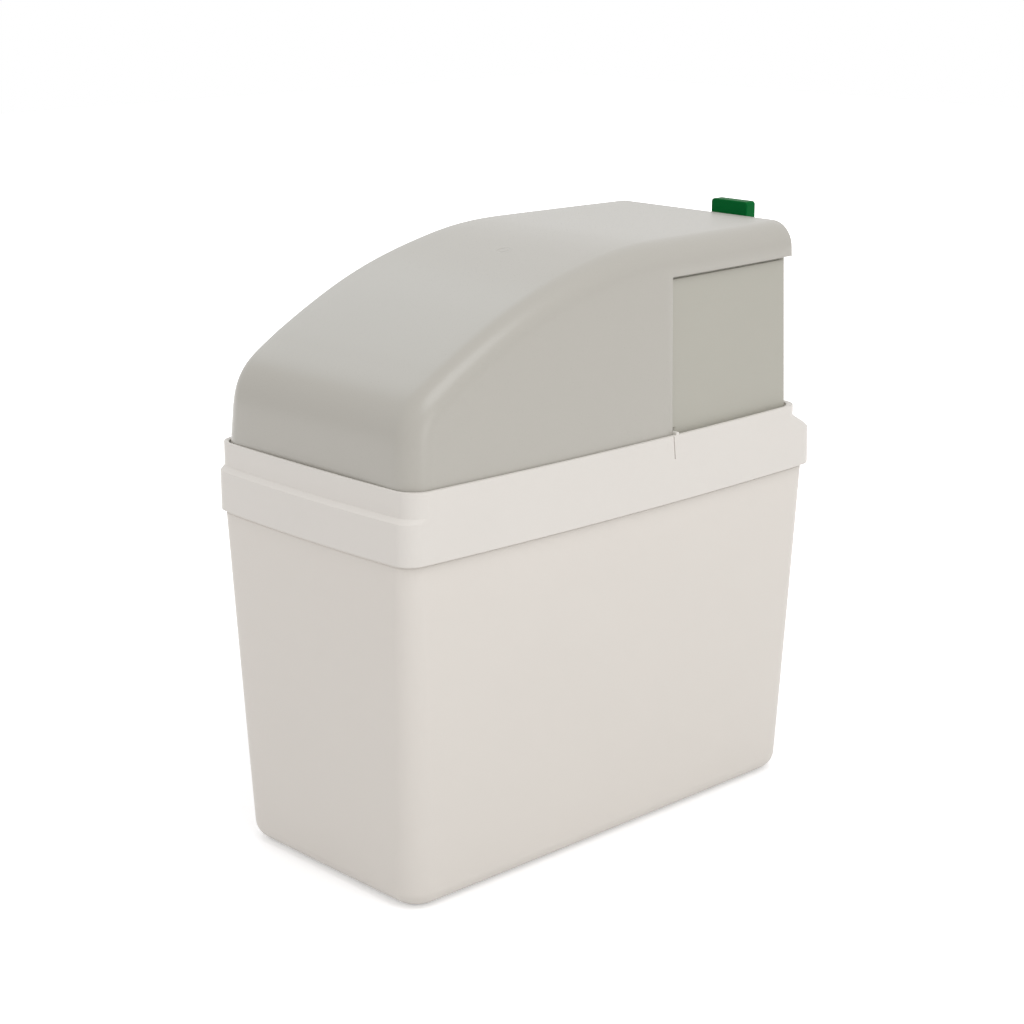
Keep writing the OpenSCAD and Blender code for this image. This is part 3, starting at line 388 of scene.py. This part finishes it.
# Water meter, gears and control disc
# Water turns a white turbine below a grey plate, and a small gear train slows it down to the orange
# control disc. The gears are moulded in acetal and run on moulded pins.
gear_white = moulding("gear_white", srgb(237, 234, 225), 0.32, grain=800, depth=0.01, drift=0.03)
disc_orange = moulding("disc_orange", srgb(217, 108, 32), 0.36, grain=800, depth=0.015, drift=0.06)
plate_grey = moulding("plate_grey", srgb(153, 153, 148), 0.45, grain=700, depth=0.02, drift=0.05)
paint(gear_white, "meter_turbine", "reduction_gear")
paint(disc_orange, "control_disc")
paint(plate_grey, "meter_plate")

# Valve cap, its seal and screws
# A charcoal cap closes the gear bay over a thin sheet of rubber. Six plain steel screws hold it down.
cap_dark = moulding("cap_dark", srgb(62, 64, 69), 0.44, grain=700, depth=0.025, drift=0.1)
screw_steel = moulding("screw_steel", srgb(170, 172, 176), 0.32, grain=2500, depth=0.01, drift=0.1,
                       metal=1.0)
paint(cap_dark, "valve_cap")
paint(seal_black, "cap_seal")
paint(screw_steel, "cap_screws")

# Bypass valve
# A black body screwed to the valve block by its flange, with two mains ports across an upright barrel.
# The grey plug turns in the barrel under a gland that four small screws hold.
plug_grey = moulding("plug_grey", srgb(198, 198, 193), 0.34, grain=500, depth=0.01, drift=0.04)
paint(valve_black, "bypass_body", "bypass_gland")
paint(seal_black, "bypass_seals")
paint(plug_grey, "bypass_plug")
paint(screw_steel, "flange_screws", "gland_screws", "handle_pin")

# Bypass handle
# A green paddle moulded in one with its hub. It slips over the plug's stem, a steel pin holds it,
# and only its top shows above the lid.
hand_x, hand_y, hub_z, fin_z, hand_top = 240.0, -16.5, 424.3, 446.0, 506.7
fin_t, fin_w, fin_corner, fin_corner_steps = 11.6, 41.2, 3.0, 6
fin_mid, hub_r, hub_top = (hand_top + fin_z) / 2, 10.0, fin_z + 2.0
bpy.ops.object.select_all(action="DESELECT")
bpy.ops.mesh.primitive_cube_add(size=1)
handle = name_new("handle")
bpy.ops.object.mode_set(mode="EDIT")
bpy.ops.mesh.select_mode(type="EDGE")
bpy.ops.mesh.select_all(action="SELECT")
bpy.ops.transform.resize(value=(fin_t * mm, fin_w * mm, (hand_top - fin_z) * mm))
bpy.ops.transform.translate(value=(hand_x * mm, hand_y * mm, fin_mid * mm))
select_edges(handle, lambda e: abs(e.verts[0].co.x - e.verts[1].co.x) > fin_t / 2 * mm
             and min(v.co.z for v in e.verts) > fin_mid * mm)
bpy.ops.mesh.bevel(offset=fin_corner * mm, segments=fin_corner_steps)
bpy.ops.mesh.select_all(action="DESELECT")
select_edges(handle, lambda e: len({round(f.normal.x) for f in e.link_faces}) > 1
             and max(v.co.z for v in e.verts) > hub_top * mm)
bpy.ops.mesh.bevel(offset=edge_r * mm, segments=round_steps)
bpy.ops.object.mode_set(mode="OBJECT")
add_boss(handle, (hand_x, hand_y, (hub_z + hub_top) / 2), "Z", hub_r, hub_top - hub_z)


def take_core(piece, core, own_overlaps=False):
    """Takes a core's shape out of a finished moulding and drops the core."""
    cut = piece.modifiers.new("core", "BOOLEAN")
    cut.operation, cut.solver, cut.object, cut.use_self = "DIFFERENCE", "EXACT", core, own_overlaps
    pick(piece)
    bpy.ops.object.modifier_apply(modifier=cut.name)
    bpy.data.meshes.remove(core.data)


bore_facets = 48


def drill(piece, centre, axis, radius, length):
    """Takes a round bore in mm out of a finished moulding."""
    bpy.ops.object.select_all(action="DESELECT")
    bpy.ops.mesh.primitive_cylinder_add(vertices=bore_facets, radius=radius * mm, depth=length * mm,
                                        location=[c * mm for c in centre], rotation=along[axis])
    take_core(piece, bpy.context.active_object, own_overlaps=True)


stem_z, tang_r, tang_h, pin_r, pin_up, pin_reach = 424.0, 4.0, 31.0, 1.5, 10.0, 40.0
push_gap, end_gap, run_out = 0.1, 0.5, 1.0
drill(handle, (hand_x, hand_y, stem_z + (tang_h + end_gap - run_out) / 2), "Z", tang_r + push_gap,
      tang_h + end_gap + run_out)
drill(handle, (hand_x, hand_y, stem_z + pin_up), "Y", pin_r + push_gap / 2, pin_reach)


def flatten_shading(piece):
    """Keeps wide faces flat in their shading and lets the small rounds between them turn."""
    bpy.ops.object.shade_smooth_by_angle(angle=radians(soft_angle))
    flats = piece.modifiers.new("flats", "WEIGHTED_NORMAL")
    flats.keep_sharp = True
    bpy.ops.object.modifier_apply(modifier=flats.name)


flatten_shading(handle)
handle_green = moulding("handle_green", srgb(1, 97, 43), 0.45, grain=900, depth=0.012, drift=0.08,
                        shine=0.05)
dress(handle, handle_green, "bypass_rotor", "handle_green", "bypass_handle")

# Salt grid and brine well
# Block salt stands on a drilled shelf with moulded legs. The brine well is a cut length of white pipe,
# and its dark cap carries the white brine valve.
grid_white = moulding("grid_white", srgb(206, 203, 196), 0.45, grain=700, depth=0.02, drift=0.04)
paint(grid_white, "salt_grid")
paint(pipe_white, "brine_well", "brine_valve")
paint(fitting_dark, "well_cap")

# Float, rod and brine line
# An orange closed-foam float rides on a plain steel rod and shuts the brine valve when the water rises.
# A push-fit tube takes the brine over to the valve block.
float_orange = packed("float_orange", srgb(224, 140, 36), 700, 0.08, 0.7)
rod_steel = moulding("rod_steel", srgb(182, 184, 188), 0.28, grain=1800, depth=0.005, drift=0.06, metal=1.0)
line_white = moulding("line_white", srgb(235, 235, 232), 0.25, grain=300, depth=0.005, drift=0.03)
paint(float_orange, "brine_float")
paint(rod_steel, "float_rod")
paint(line_white, "brine_line")
paint(fitting_dark, "brine_spigot")

# Drain spigot and overflow elbow
# Both outlets leave at the back: the drain from the valve block, the overflow through a boss in the tub
# wall, where a backing nut inside draws it down on its gasket.
paint(fitting_dark, "drain_spigot", "overflow_elbow", "overflow_nut")
paint(seal_black, "overflow_gasket")

# Partition
# A flat white panel slides down two pairs of guides and parts the salt from the vessels.
# Its upper corners pass through slits in the collar and stand just above the rim.
panel_white = moulding("panel_white", srgb(222, 219, 213), 0.42, grain=700, depth=0.015, drift=0.04,
                       shine=0.35)
paint(panel_white, "partition")

# Collar
# A deep off-white frame clipped over the top of the tub. Its lower band overhangs the tub all round,
# a ledge sets the upper band back at the front, and the rear slopes in to make room for the bypass.
rim_z, ledge_z, shelf_z, shelf_t, clip_z = 343.0, 320.0, 338.5, 3.0, 287.5
front_in, collar_r, collar_angle = 1.8, 15.0, 32
# In from the lip at the front, the rear and the sides: on the tub, inside the rim and at the opening.
on_tub, in_rim, opening = (3.0, 3.0, 3.0), (8.1, 26.4, 3.4), (15.7, 52.0, 11.5)


def band(z, front, rear, side=0.0, r=collar_r, ease=0.0):
    """One ring of the collar: how far its front, rear and sides stand in from the lip, in mm.

    The ease takes back so much of the front's bow, where the rim has to clear the lid's straight front.
    """
    ring = bowed_outline(front_in - half_l + front, half_l - rear, half_w - side, r, end_bow, side_bow)
    return at_height([(x + ease * min(x, 0) / half_l * (y / half_w) ** 2, y) for x, y in ring], z)


under_lip = [band(clip_z, *on_tub, 12), band(286.6, 2.2, 1.2, 2.2, 12.8), band(286.6, 0.7, -0.5, 0.7, 14.3),
             band(286.8, 0.2, -1, 0.2, 14.8)]
lower_band = [band(287.3, 0, -1.2), band(303, 0, -0.7), band(318.9, 0, 0)]
ledge = [band(319.3, 0.1, 0.1), band(319.6, 0.4, 0.5), band(322.7, 4.5, 4.8), band(323.1, 4.65, 5.5)]
upper_band = [band(323.7, 4.7, 6.5), band(332.3, 4.7, 22.1), band(333.3, 4.7, 22.8), band(334.5, 4.7, 23),
              band(341.9, 4.7, 23)]
rim = [band(342.6, 4.9, 23.2, 0.2, 14.9), band(rim_z, 5.6, 23.9, 0.9, 15.6),
       band(rim_z, 7.3, 25.6, 2.6, 18, 2.45), band(342.5, *in_rim, 19, 3.4)]
shelf = [band(shelf_z, *in_rim, 19, 3.4), band(shelf_z, *opening, 13), band(shelf_z - shelf_t, *opening, 13),
         band(shelf_z - shelf_t, *in_rim, 11.6)]
seat = [band(ledge_z, *in_rim, 11.6), band(ledge_z, *opening, 10), band(tub_top, *opening, 10),
        band(tub_top, *on_tub, 12), band(clip_z, *on_tub, 12)]
collar_rings = under_lip + lower_band + ledge + upper_band + rim + shelf + seat
collar = start_ring("collar", collar_rings[0], False)
pull_through(collar, collar_rings)
close_piece(collar, collar_angle)


def cut_away(piece, low, high, lean=0.0):
    """Takes a block out of a finished moulding, as a core in its mould would, corners and lean in mm."""
    bpy.ops.object.select_all(action="DESELECT")
    bpy.ops.mesh.primitive_cube_add(size=1, location=[(a + b) / 2 * mm for a, b in zip(low, high)])
    core = bpy.context.active_object
    core.scale = [(b - a) * mm for a, b in zip(low, high)]
    bpy.ops.object.transform_apply(location=True, rotation=False, scale=True)
    for v in core.data.vertices:
        v.co.x += lean * mm if v.co.z > (low[2] + high[2]) / 2 * mm else 0
    take_core(piece, core)


# The thin slit that shows outside, then the partition's slot through the shelf and into the rim:
# x from and to, y from and to on either side, z from and to, and lean.
slot_x0, slot_x1, slot_top = guide_xs[0] + guide_t, guide_xs[1], 360.0
slits = ((47.6, 48.6, 125.7, 135.0, 323.0, 344.0, -2.3),
         (slot_x0, slot_x1, 108.0, 123.8, 320.5, slot_top, 0.0),
         (slot_x0, slot_x1, 123.0, 125.4, 339.0, slot_top, 0.0))
for s in (-1, 1):
    for x0, x1, near, far, z0, z1, lean in slits:
        y0, y1 = either_side(s, near, far)
        cut_away(collar, (x0, y0, z0), (x1, y1, z1), lean)
flatten_shading(collar)
collar_white = moulding("collar_white", srgb(218, 214, 208), 0.4, grain=700, depth=0.015, drift=0.03,
                        shine=0.35)
dress(collar, collar_white, "cabinet", "collar_white", "top_frame")

# Rear cover and its screws
# A grey hood over the valve, a little smaller than the lid that closes over it. Two steel screws hold it
# to posts on the valve block, and notches in its rear and front edges let the pipes through.
cover_x0, cover_x1, cover_b, cover_top, hood_wall = 54.0, 204.9, 119.4, 488.2, 2.6
draft, cover_h, rear_lean, cover_r, cover_r_loss, cover_bow = 0.065, 127.0, 1.6, 4.5, 3.0, 2.0
step_z, step_out, rebate_z, rebate_in, side_rows = 347.6, 7.0, 467.2, 1.8, 6
rebate_start, rebate_run, crown_h, crown_in = 3.0, 4.0, 15.0, 10.0


def cover_ring(z, step, inset=0.0, rebate=0.0):
    """One ring of the cover. The step brings its front forward, and the inset takes all of it in.

    The rebate sets its long sides back, but not its rear corners.
    """
    rise = (z - rim_z) / cover_h
    rear, half = cover_x1 + rear_lean * rise - inset, cover_b - draft * (z - rim_z) - inset
    corner = cover_r - cover_r_loss * rise
    ring = bowed_outline(cover_x0 - step + inset, rear, half, corner, cover_bow, side_bow)
    shares = [min(1, max(0, (rear - rebate_start - x) / rebate_run)) for x, y in ring]
    return at_height([(x, y * (1 - rebate / half * share)) for (x, y), share in zip(ring, shares)], z)


cover_rings = [cover_ring(z, 0) for z in (shelf_z, rim_z, step_z)]
for i in range(side_rows + 1):
    cover_rings.append(cover_ring(step_z + (rebate_z - step_z) * i / side_rows, step_out))
for z, rebate in ((467.6, 0.2), (467.8, 0.6), (467.8, rebate_in)):
    cover_rings.append(cover_ring(z, step_out, 0, rebate))
for a in quarter_turn:
    z = cover_top - crown_h + crown_h * sin(a)
    cover_rings.append(cover_ring(z, step_out, crown_in * (1 - cos(a)), rebate_in))
cover = start_ring("rear_hood", cover_rings[0], False)
pull_through(cover, cover_rings)
bpy.ops.mesh.edge_face_add()
close_piece(cover, soft_angle)


def thicken(piece):
    """Gives a formed sheet its wall, inwards, and trims what hangs below the collar's shelf."""
    shell = piece.modifiers.new("wall", "SOLIDIFY")
    shell.thickness, shell.offset = hood_wall * mm, -1.0
    bpy.ops.object.modifier_apply(modifier=shell.name)
    for v in piece.data.vertices:
        v.co.z = max(v.co.z, shelf_z * mm)


thicken(cover)
# Notches for the bypass, the drain and the brine line: the wall that they go through, y from and to, and top.
notch_reach = 15.0
notches = ((cover_x1, -45.5, 12.5, 386.0), (cover_x1, 29.0, 51.0, 371.0), (cover_x0, 58.0, 74.0, 360.0))
for x, y0, y1, top in notches:
    cut_away(cover, (x - notch_reach, y0, shelf_z - run_out), (x + notch_reach, y1, top))
bpy.ops.object.shade_smooth_by_angle(angle=radians(soft_angle))
cover_grey = moulding("cover_grey", srgb(176, 174, 164), 0.5, grain=1100, depth=0.03, drift=0.03, shine=0.3)
dress(cover, cover_grey, "cabinet", "cover_grey", "rear_cover")
paint(screw_steel, "cover_screws")

# Lid
# A grey hood formed in one piece, from an upright front over a long arc to a flat rear end. It drops
# inside the collar's rim, and its rear half ends in a short skirt over the rear cover.
lid_top, lid_b, lid_r, lid_x1, flat_x = 498.7, 122.7, 21.5, 211.5, 60.0
skirt_z, seam_x, seam_lean = 469.9, 48.8, 6.5
front_x, front_lean, front_h = -229.0, 1.97, 27.2
nose_slope, nose_turn, nose_length, nose_steps = 85.86, 53.6, 67.34, 128
nose_rows, arc_rows, flat_rows, crown_rows = 16, 5, 12, 12
rear_edge_r, skirt_edge_r, skirt_edge_steps = 0.9, 0.6, 2
edge_turn = [radians(a) for a in range(90, -1, -9)]
# Limits in mm by which points, faces and edges are chosen, the angle of a hard edge and a normal's share.
lid_weld, touch, skirt_clear, skin_depth, least_rise = 0.02, 0.1, 0.5, 1.0, 1.0
hard_edge, facing = radians(57), 0.99
# How far down from the edge round to the shelf each row of the lid's sides stands, as a share.
falls = (0.043, 0.2, 0.4, 0.6, 0.8, 1.0)
# Points on the arc as places along the lid and shares of its height over the rim, drawn a little rearwards.
arc_draw = 0.007
arc = [(-180, 0.5594), (-149, 0.6643), (-116.5, 0.762), (-84, 0.8408), (-51.5, 0.9016), (-18, 0.951),
       (0, 0.9722), (15, 0.9853), (36, 0.9965), (flat_x, 1.0)]
arc = [(x + arc_draw * (flat_x - x), rim_z + share * (lid_top - rim_z)) for x, share in arc]


def rounded_through(points, steps):
    """Points along a smooth curve through the given ones, with level run-out at the last."""
    line = []
    for i in range(len(points) - 1):
        p0, p1, p2 = points[max(i - 1, 0)], points[i], points[i + 1]
        p3 = points[i + 2] if i + 2 < len(points) else (2 * p2[0] - p1[0], p2[1])
        d1 = hypot(p2[0] - p0[0], p2[1] - p0[1])
        d2 = hypot(p3[0] - p1[0], p3[1] - p1[1])
        span = hypot(p2[0] - p1[0], p2[1] - p1[1])
        for k in range(steps):
            t = k / steps
            from_p1, from_p2 = 2 * t ** 3 - 3 * t ** 2 + 1, 3 * t ** 2 - 2 * t ** 3
            leaving, arriving = t ** 3 - 2 * t ** 2 + t, t ** 3 - t ** 2
            line.append(tuple(from_p1 * p1[c] + leaving * span * (p2[c] - p0[c]) / d1 + from_p2 * p2[c]
                              + arriving * span * (p3[c] - p1[c]) / d2 for c in (0, 1)))
    return line + [points[-1]]


last_front = len(falls)
front = [(front_x + front_lean * i / last_front, shelf_z + front_h * i / last_front)
         for i in range(last_front + 1)]
nose, (x, z) = [front[-1]], front[-1]
for k in range(nose_steps):
    t = (k + 0.5) / nose_steps
    slope = radians(nose_slope - nose_turn * t * t * (3 - 2 * t))
    x, z = x + nose_length / nose_steps * cos(slope), z + nose_length / nose_steps * sin(slope)
    if (k + 1) % (nose_steps // nose_rows) == 0:
        nose.append((x, z))
profile = front[:-1] + nose[:-1] + rounded_through([nose[-1]] + arc, arc_rows)
profile += [(flat_x + (lid_x1 - flat_x) * i / flat_rows, lid_top) for i in range(1, flat_rows + 1)]
seam_row = min(range(len(profile)), key=lambda i: abs(profile[i][0] - seam_x))


def lid_half(x, z):
    """Half the width of the lid's sides at a place along it and a height."""
    return lid_b - draft * (z - rim_z) - side_bow * (x / half_l) ** 2


def seam_at(z):
    """How far back the lid's sides reach at a height below the skirt."""
    return seam_x + seam_lean * max(0, z - rim_z) / (skirt_z - rim_z)


def edge_centres():
    """Centre of the lid's edge round at each point of its profile."""
    centres = []
    for i, (x, z) in enumerate(profile):
        (ax, az), (bx, bz) = profile[max(i - 1, 0)], profile[min(i + 1, len(profile) - 1)]
        slope = 0.0 if x >= flat_x else atan2(bz - az, bx - ax)
        centres.append((x + lid_r * sin(slope), z - lid_r * cos(slope)))
    return centres


def lid_section(point, centre):
    """The lid across at one point of its profile: edge round, flat crown, edge round."""
    (px, pz), (cx, cz) = point, centre
    half = lid_half(cx, cz) - lid_r
    turn = [(half + lid_r * sin(a), cos(a)) for a in edge_turn]
    row = [(cx + d * (px - cx), -y, cz + d * (pz - cz)) for y, d in turn]
    row += [(px, -half * (1 - 2 * k / crown_rows), pz) for k in range(1, crown_rows)]
    row += [(cx + d * (px - cx), y, cz + d * (pz - cz)) for y, d in turn[::-1]]
    return [Vector(p) * mm for p in row]


sections = [lid_section(p, c) for p, c in zip(profile, edge_centres())]
sections[0] = [Vector((p.x, p.y, shelf_z * mm)) for p in sections[0]]
bpy.ops.object.select_all(action="DESELECT")
bpy.ops.mesh.primitive_grid_add(x_subdivisions=len(sections[0]) - 1, y_subdivisions=1, size=1)
lid = name_new("hood")
for v, place in zip(lid.data.vertices, sections[0] + sections[1]):
    v.co = place
bpy.ops.object.mode_set(mode="EDIT")
bpy.ops.mesh.select_mode(type="EDGE")


def choose_chain(piece, places):
    """Selects the edges that join these points one to the next."""
    bpy.ops.mesh.select_all(action="DESELECT")
    bm = bmesh.from_edit_mesh(piece.data)
    near = kdtree.KDTree(len(bm.verts))
    bm.verts.ensure_lookup_table()
    for v in bm.verts:
        near.insert(v.co, v.index)
    near.balance()
    chain = [bm.verts[near.find(p)[1]] for p in places]
    for a, b in zip(chain, chain[1:]):
        bm.edges.get((a, b)).select_set(True)
    bmesh.update_edit_mesh(piece.data)


def side_rows_down(edge, way):
    """Rows of one of the lid's sides, from its edge round to the shelf. The way is -1 on the near side."""
    below = [i for i in range(last_front + 1, len(edge)) if (edge[i] - edge[i - 1]).length > touch * mm]
    rows = [[edge[last_front]] + [edge[i] for i in below]]
    for k, fall in enumerate(falls, 1):
        row = [edge[last_front - k]]
        for i in below:
            x, z = edge[i].x / mm, edge[i].z / mm + (shelf_z - edge[i].z / mm) * fall
            if i >= seam_row and k == 1:
                z = skirt_z
            if i == seam_row:
                x = seam_at(z)
            row.append(Vector((x, way * lid_half(x, z), z)) * mm)
        rows.append(row)
    return rows


choose_chain(lid, sections[1])
pull_through(lid, sections[1:])
weld(lid_weld)
for end, way in ((0, -1), (-1, 1)):
    rows = side_rows_down([section[end] for section in sections], way)
    choose_chain(lid, rows[0])
    pull_through(lid, rows)
weld(lid_weld)

# Behind the seam the sides end at the skirt, and a flat face closes the rear end.
bpy.ops.mesh.select_mode(type="FACE")
bpy.ops.mesh.select_all(action="DESELECT")
bm = bmesh.from_edit_mesh(lid.data)
for f in bm.faces:
    middle = f.calc_center_median() / mm
    f.select_set(middle.x > seam_at(middle.z) and middle.z < skirt_z - skirt_clear)
bmesh.update_edit_mesh(lid.data)
bpy.ops.mesh.delete(type="FACE")
bpy.ops.mesh.select_mode(type="EDGE")
bm = bmesh.from_edit_mesh(lid.data)
rear_end = [v for v in bm.verts
            if abs(v.co.x - lid_x1 * mm) < lid_weld * mm and v.co.z > (skirt_z - touch) * mm]
rear_end.sort(key=lambda v: atan2(v.co.y, v.co.z - (skirt_z - lid_r) * mm))
bm.faces.new(rear_end)
bmesh.update_edit_mesh(lid.data)
bpy.ops.mesh.select_all(action="SELECT")
bpy.ops.mesh.normals_make_consistent(inside=False)
bpy.ops.mesh.select_all(action="DESELECT")
select_edges(lid, lambda e: len({abs(f.normal.x) > facing for f in e.link_faces}) == 2
             and min(v.co.x for v in e.verts) > (lid_x1 - touch) * mm)
bpy.ops.mesh.bevel(offset=rear_edge_r * mm, segments=round_steps)
bpy.ops.object.mode_set(mode="OBJECT")
thicken(lid)


def on_skirt_or_seam(e):
    """Whether an edge is a hard one outside, along the skirt's lower edge or up the seam."""
    a, b = (v.co / mm for v in e.verts)
    middle = (a + b) / 2
    skirt = abs(middle.z - skirt_z) < touch and abs(a.z - b.z) < touch
    upright = middle.z < skirt_z and abs(a.z - b.z) > least_rise
    seam = upright and abs(middle.x - seam_at(middle.z)) < touch
    at_side = abs(middle.y) > lid_half(middle.x, middle.z) - skin_depth
    outer = at_side or middle.x > lid_x1 - 2 * skin_depth
    return (skirt or seam) and outer and e.is_manifold and e.calc_face_angle(0) > hard_edge


edit_more(lid)
select_edges(lid, on_skirt_or_seam)
bpy.ops.mesh.bevel(offset=skirt_edge_r * mm, segments=skirt_edge_steps)
bpy.ops.object.mode_set(mode="OBJECT")
rib_x, rib_t, rib_half, rib_z0, rib_z1, rib_round = 110.0, 2.4, 88.0, 492.1, 497.0, 0.4
add_block(lid, (rib_x - rib_t / 2, -rib_half, rib_z0), (rib_x + rib_t / 2, rib_half, rib_z1), rib_round)
bpy.ops.object.mode_set(mode="OBJECT")
bpy.ops.object.shade_smooth_by_angle(angle=radians(soft_angle))

# The mark of the mould's gate on the arc is a shallow ring, put into the finish as a bump.
lid_grey = moulding("lid_grey", srgb(176, 173, 165), 0.3, grain=1100, depth=0.015, drift=0.03, shine=0.5)
gate_at, gate_r, gate_depth = (-28.0, -4.0, 488.6), 9.0, 0.5
gate_heights = (0.8, 0.8, 0.0, 1.0, 1.0)
nodes, link = lid_grey.node_tree.nodes, lid_grey.node_tree.links.new
place = add_node(nodes, "TexCoord", {})
off = add_node(nodes, "VectorMath", {1: [c * mm for c in gate_at]}, "DISTANCE")
reach = add_node(nodes, "MapRange", {"From Max": gate_r * mm})
ring = add_node(nodes, "ValToRGB", {})
gate = add_node(nodes, "Bump", {"Distance": gate_depth * mm})
ring.color_ramp.interpolation = "EASE"
for i in range(1, len(gate_heights) - 1):
    ring.color_ramp.elements.new(i / (len(gate_heights) - 1))
for stop, height in zip(ring.color_ramp.elements, gate_heights):
    stop.color = (height, height, height, 1)
link(place.outputs["Object"], off.inputs[0])
link(off.outputs["Value"], reach.inputs["Value"])
link(reach.outputs["Result"], ring.inputs["Fac"])
link(ring.outputs["Color"], gate.inputs["Height"])
link(gate.outputs["Normal"], nodes["Bump"].inputs["Normal"])
dress(lid, lid_grey, "lid", "lid_grey", "lid")


# Studio
# A pale floor under a white sky, and three soft lamps: one high at the right, one low before the
# long side and one behind. The floor carries a painted glow, seen by the camera and in reflections,
# weak beside the object so that its shadow stays and full white farther out. The camera stands where the
# photograph was taken from.
def any_ray(nodes, link, *kinds):
    """An output that is 1 for rays of any of these kinds."""
    rays = add_node(nodes, "LightPath", {})
    found = rays.outputs[kinds[0]]
    for kind in kinds[1:]:
        either = add_node(nodes, "Math", {}, "MAXIMUM")
        link(found, either.inputs[0])
        link(rays.outputs[kind], either.inputs[1])
        found = either.outputs[0]
    return found


floor_size, floor_drop, floor_grey = 12.0, 0.0003, (0.82, 0.82, 0.82, 1)
bpy.ops.object.select_all(action="DESELECT")
bpy.ops.mesh.primitive_plane_add(size=floor_size, location=(0, 0, -floor_drop))
floor = name_new("studio_floor")
floor_finish, nodes, link, shader = new_finish("studio_floor", floor_grey)
set_inputs(shader, {"Base Color": floor_grey, "Roughness": 0.9, "Emission Color": (1, 1, 1, 1)})
# Painted glow: emission seen only by camera and glossy rays. It is 0.35 beside the object and rises to 1.0 at
# 1.3 m out, in place of lamp light that fades with distance.
place = add_node(nodes, "TexCoord", {})
away = add_node(nodes, "VectorMath", {}, "LENGTH")
glow_fade = add_node(nodes, "MapRange", {"From Min": 0.3, "From Max": 1.3, "To Min": 0.35, "To Max": 1.0})
painted_glow = add_node(nodes, "Math", {}, "MULTIPLY")
link(place.outputs["Object"], away.inputs[0])
link(away.outputs["Value"], glow_fade.inputs["Value"])
link(any_ray(nodes, link, "Is Camera Ray", "Is Glossy Ray"), painted_glow.inputs[0])
link(glow_fade.outputs["Result"], painted_glow.inputs[1])
link(painted_glow.outputs[0], shader.inputs["Emission Strength"])
floor.data.materials.append(floor_finish)

world = bpy.data.worlds.new("studio")
bpy.context.scene.world = world
world.use_nodes = True
nodes, link = world.node_tree.nodes, world.node_tree.links.new
level = nodes.new("ShaderNodeMix")
level.data_type = "RGBA"
mix_first, mix_second, mix_out = 6, 7, 2
set_inputs(level, {mix_first: (0.84, 0.825, 0.822, 1), mix_second: (1, 1, 1, 1)})
link(any_ray(nodes, link, "Is Camera Ray", "Is Glossy Ray", "Is Transmission Ray"), level.inputs[0])
link(level.outputs[mix_out], nodes["Background"].inputs["Color"])


def soft_lamp(name, place, aim, size, power, colour):
    """A round soft lamp that points at a place."""
    lamp = bpy.data.lights.new(name, "AREA")
    lamp.shape, lamp.size, lamp.energy, lamp.color = "DISK", size, power, colour
    holder = bpy.data.objects.new(name, lamp)
    holder.location = place
    holder.rotation_euler = (Vector(aim) - Vector(place)).to_track_quat("-Z", "Y").to_euler()
    bpy.context.collection.objects.link(holder)


soft_lamp("lamp_right", (-0.3, -1.4, 2.35), (0, 0, 0.3), 1.5, 14, (0.95, 0.975, 1.0))
soft_lamp("lamp_low", (-0.24, -1.8, 0.65), (0, 0, 0.3), 0.8, 2.7, (1.0, 0.985, 0.965))
soft_lamp("lamp_back", (0.2, 1.9, 2.2), (0, 0, 0.4), 2.0, 6, (0.8, 0.91, 1.0))

lens = bpy.data.cameras.new("camera")
lens.sensor_width, lens.lens = 36.0, 76.11
camera = bpy.data.objects.new("camera", lens)
camera.location = (-1.22755, -1.27492, 0.75830)
camera.rotation_euler = (radians(74.33), 0, radians(-43.56))
bpy.context.collection.objects.link(camera)
bpy.context.scene.camera = camera
bpy.context.scene.view_settings.view_transform = "Standard"
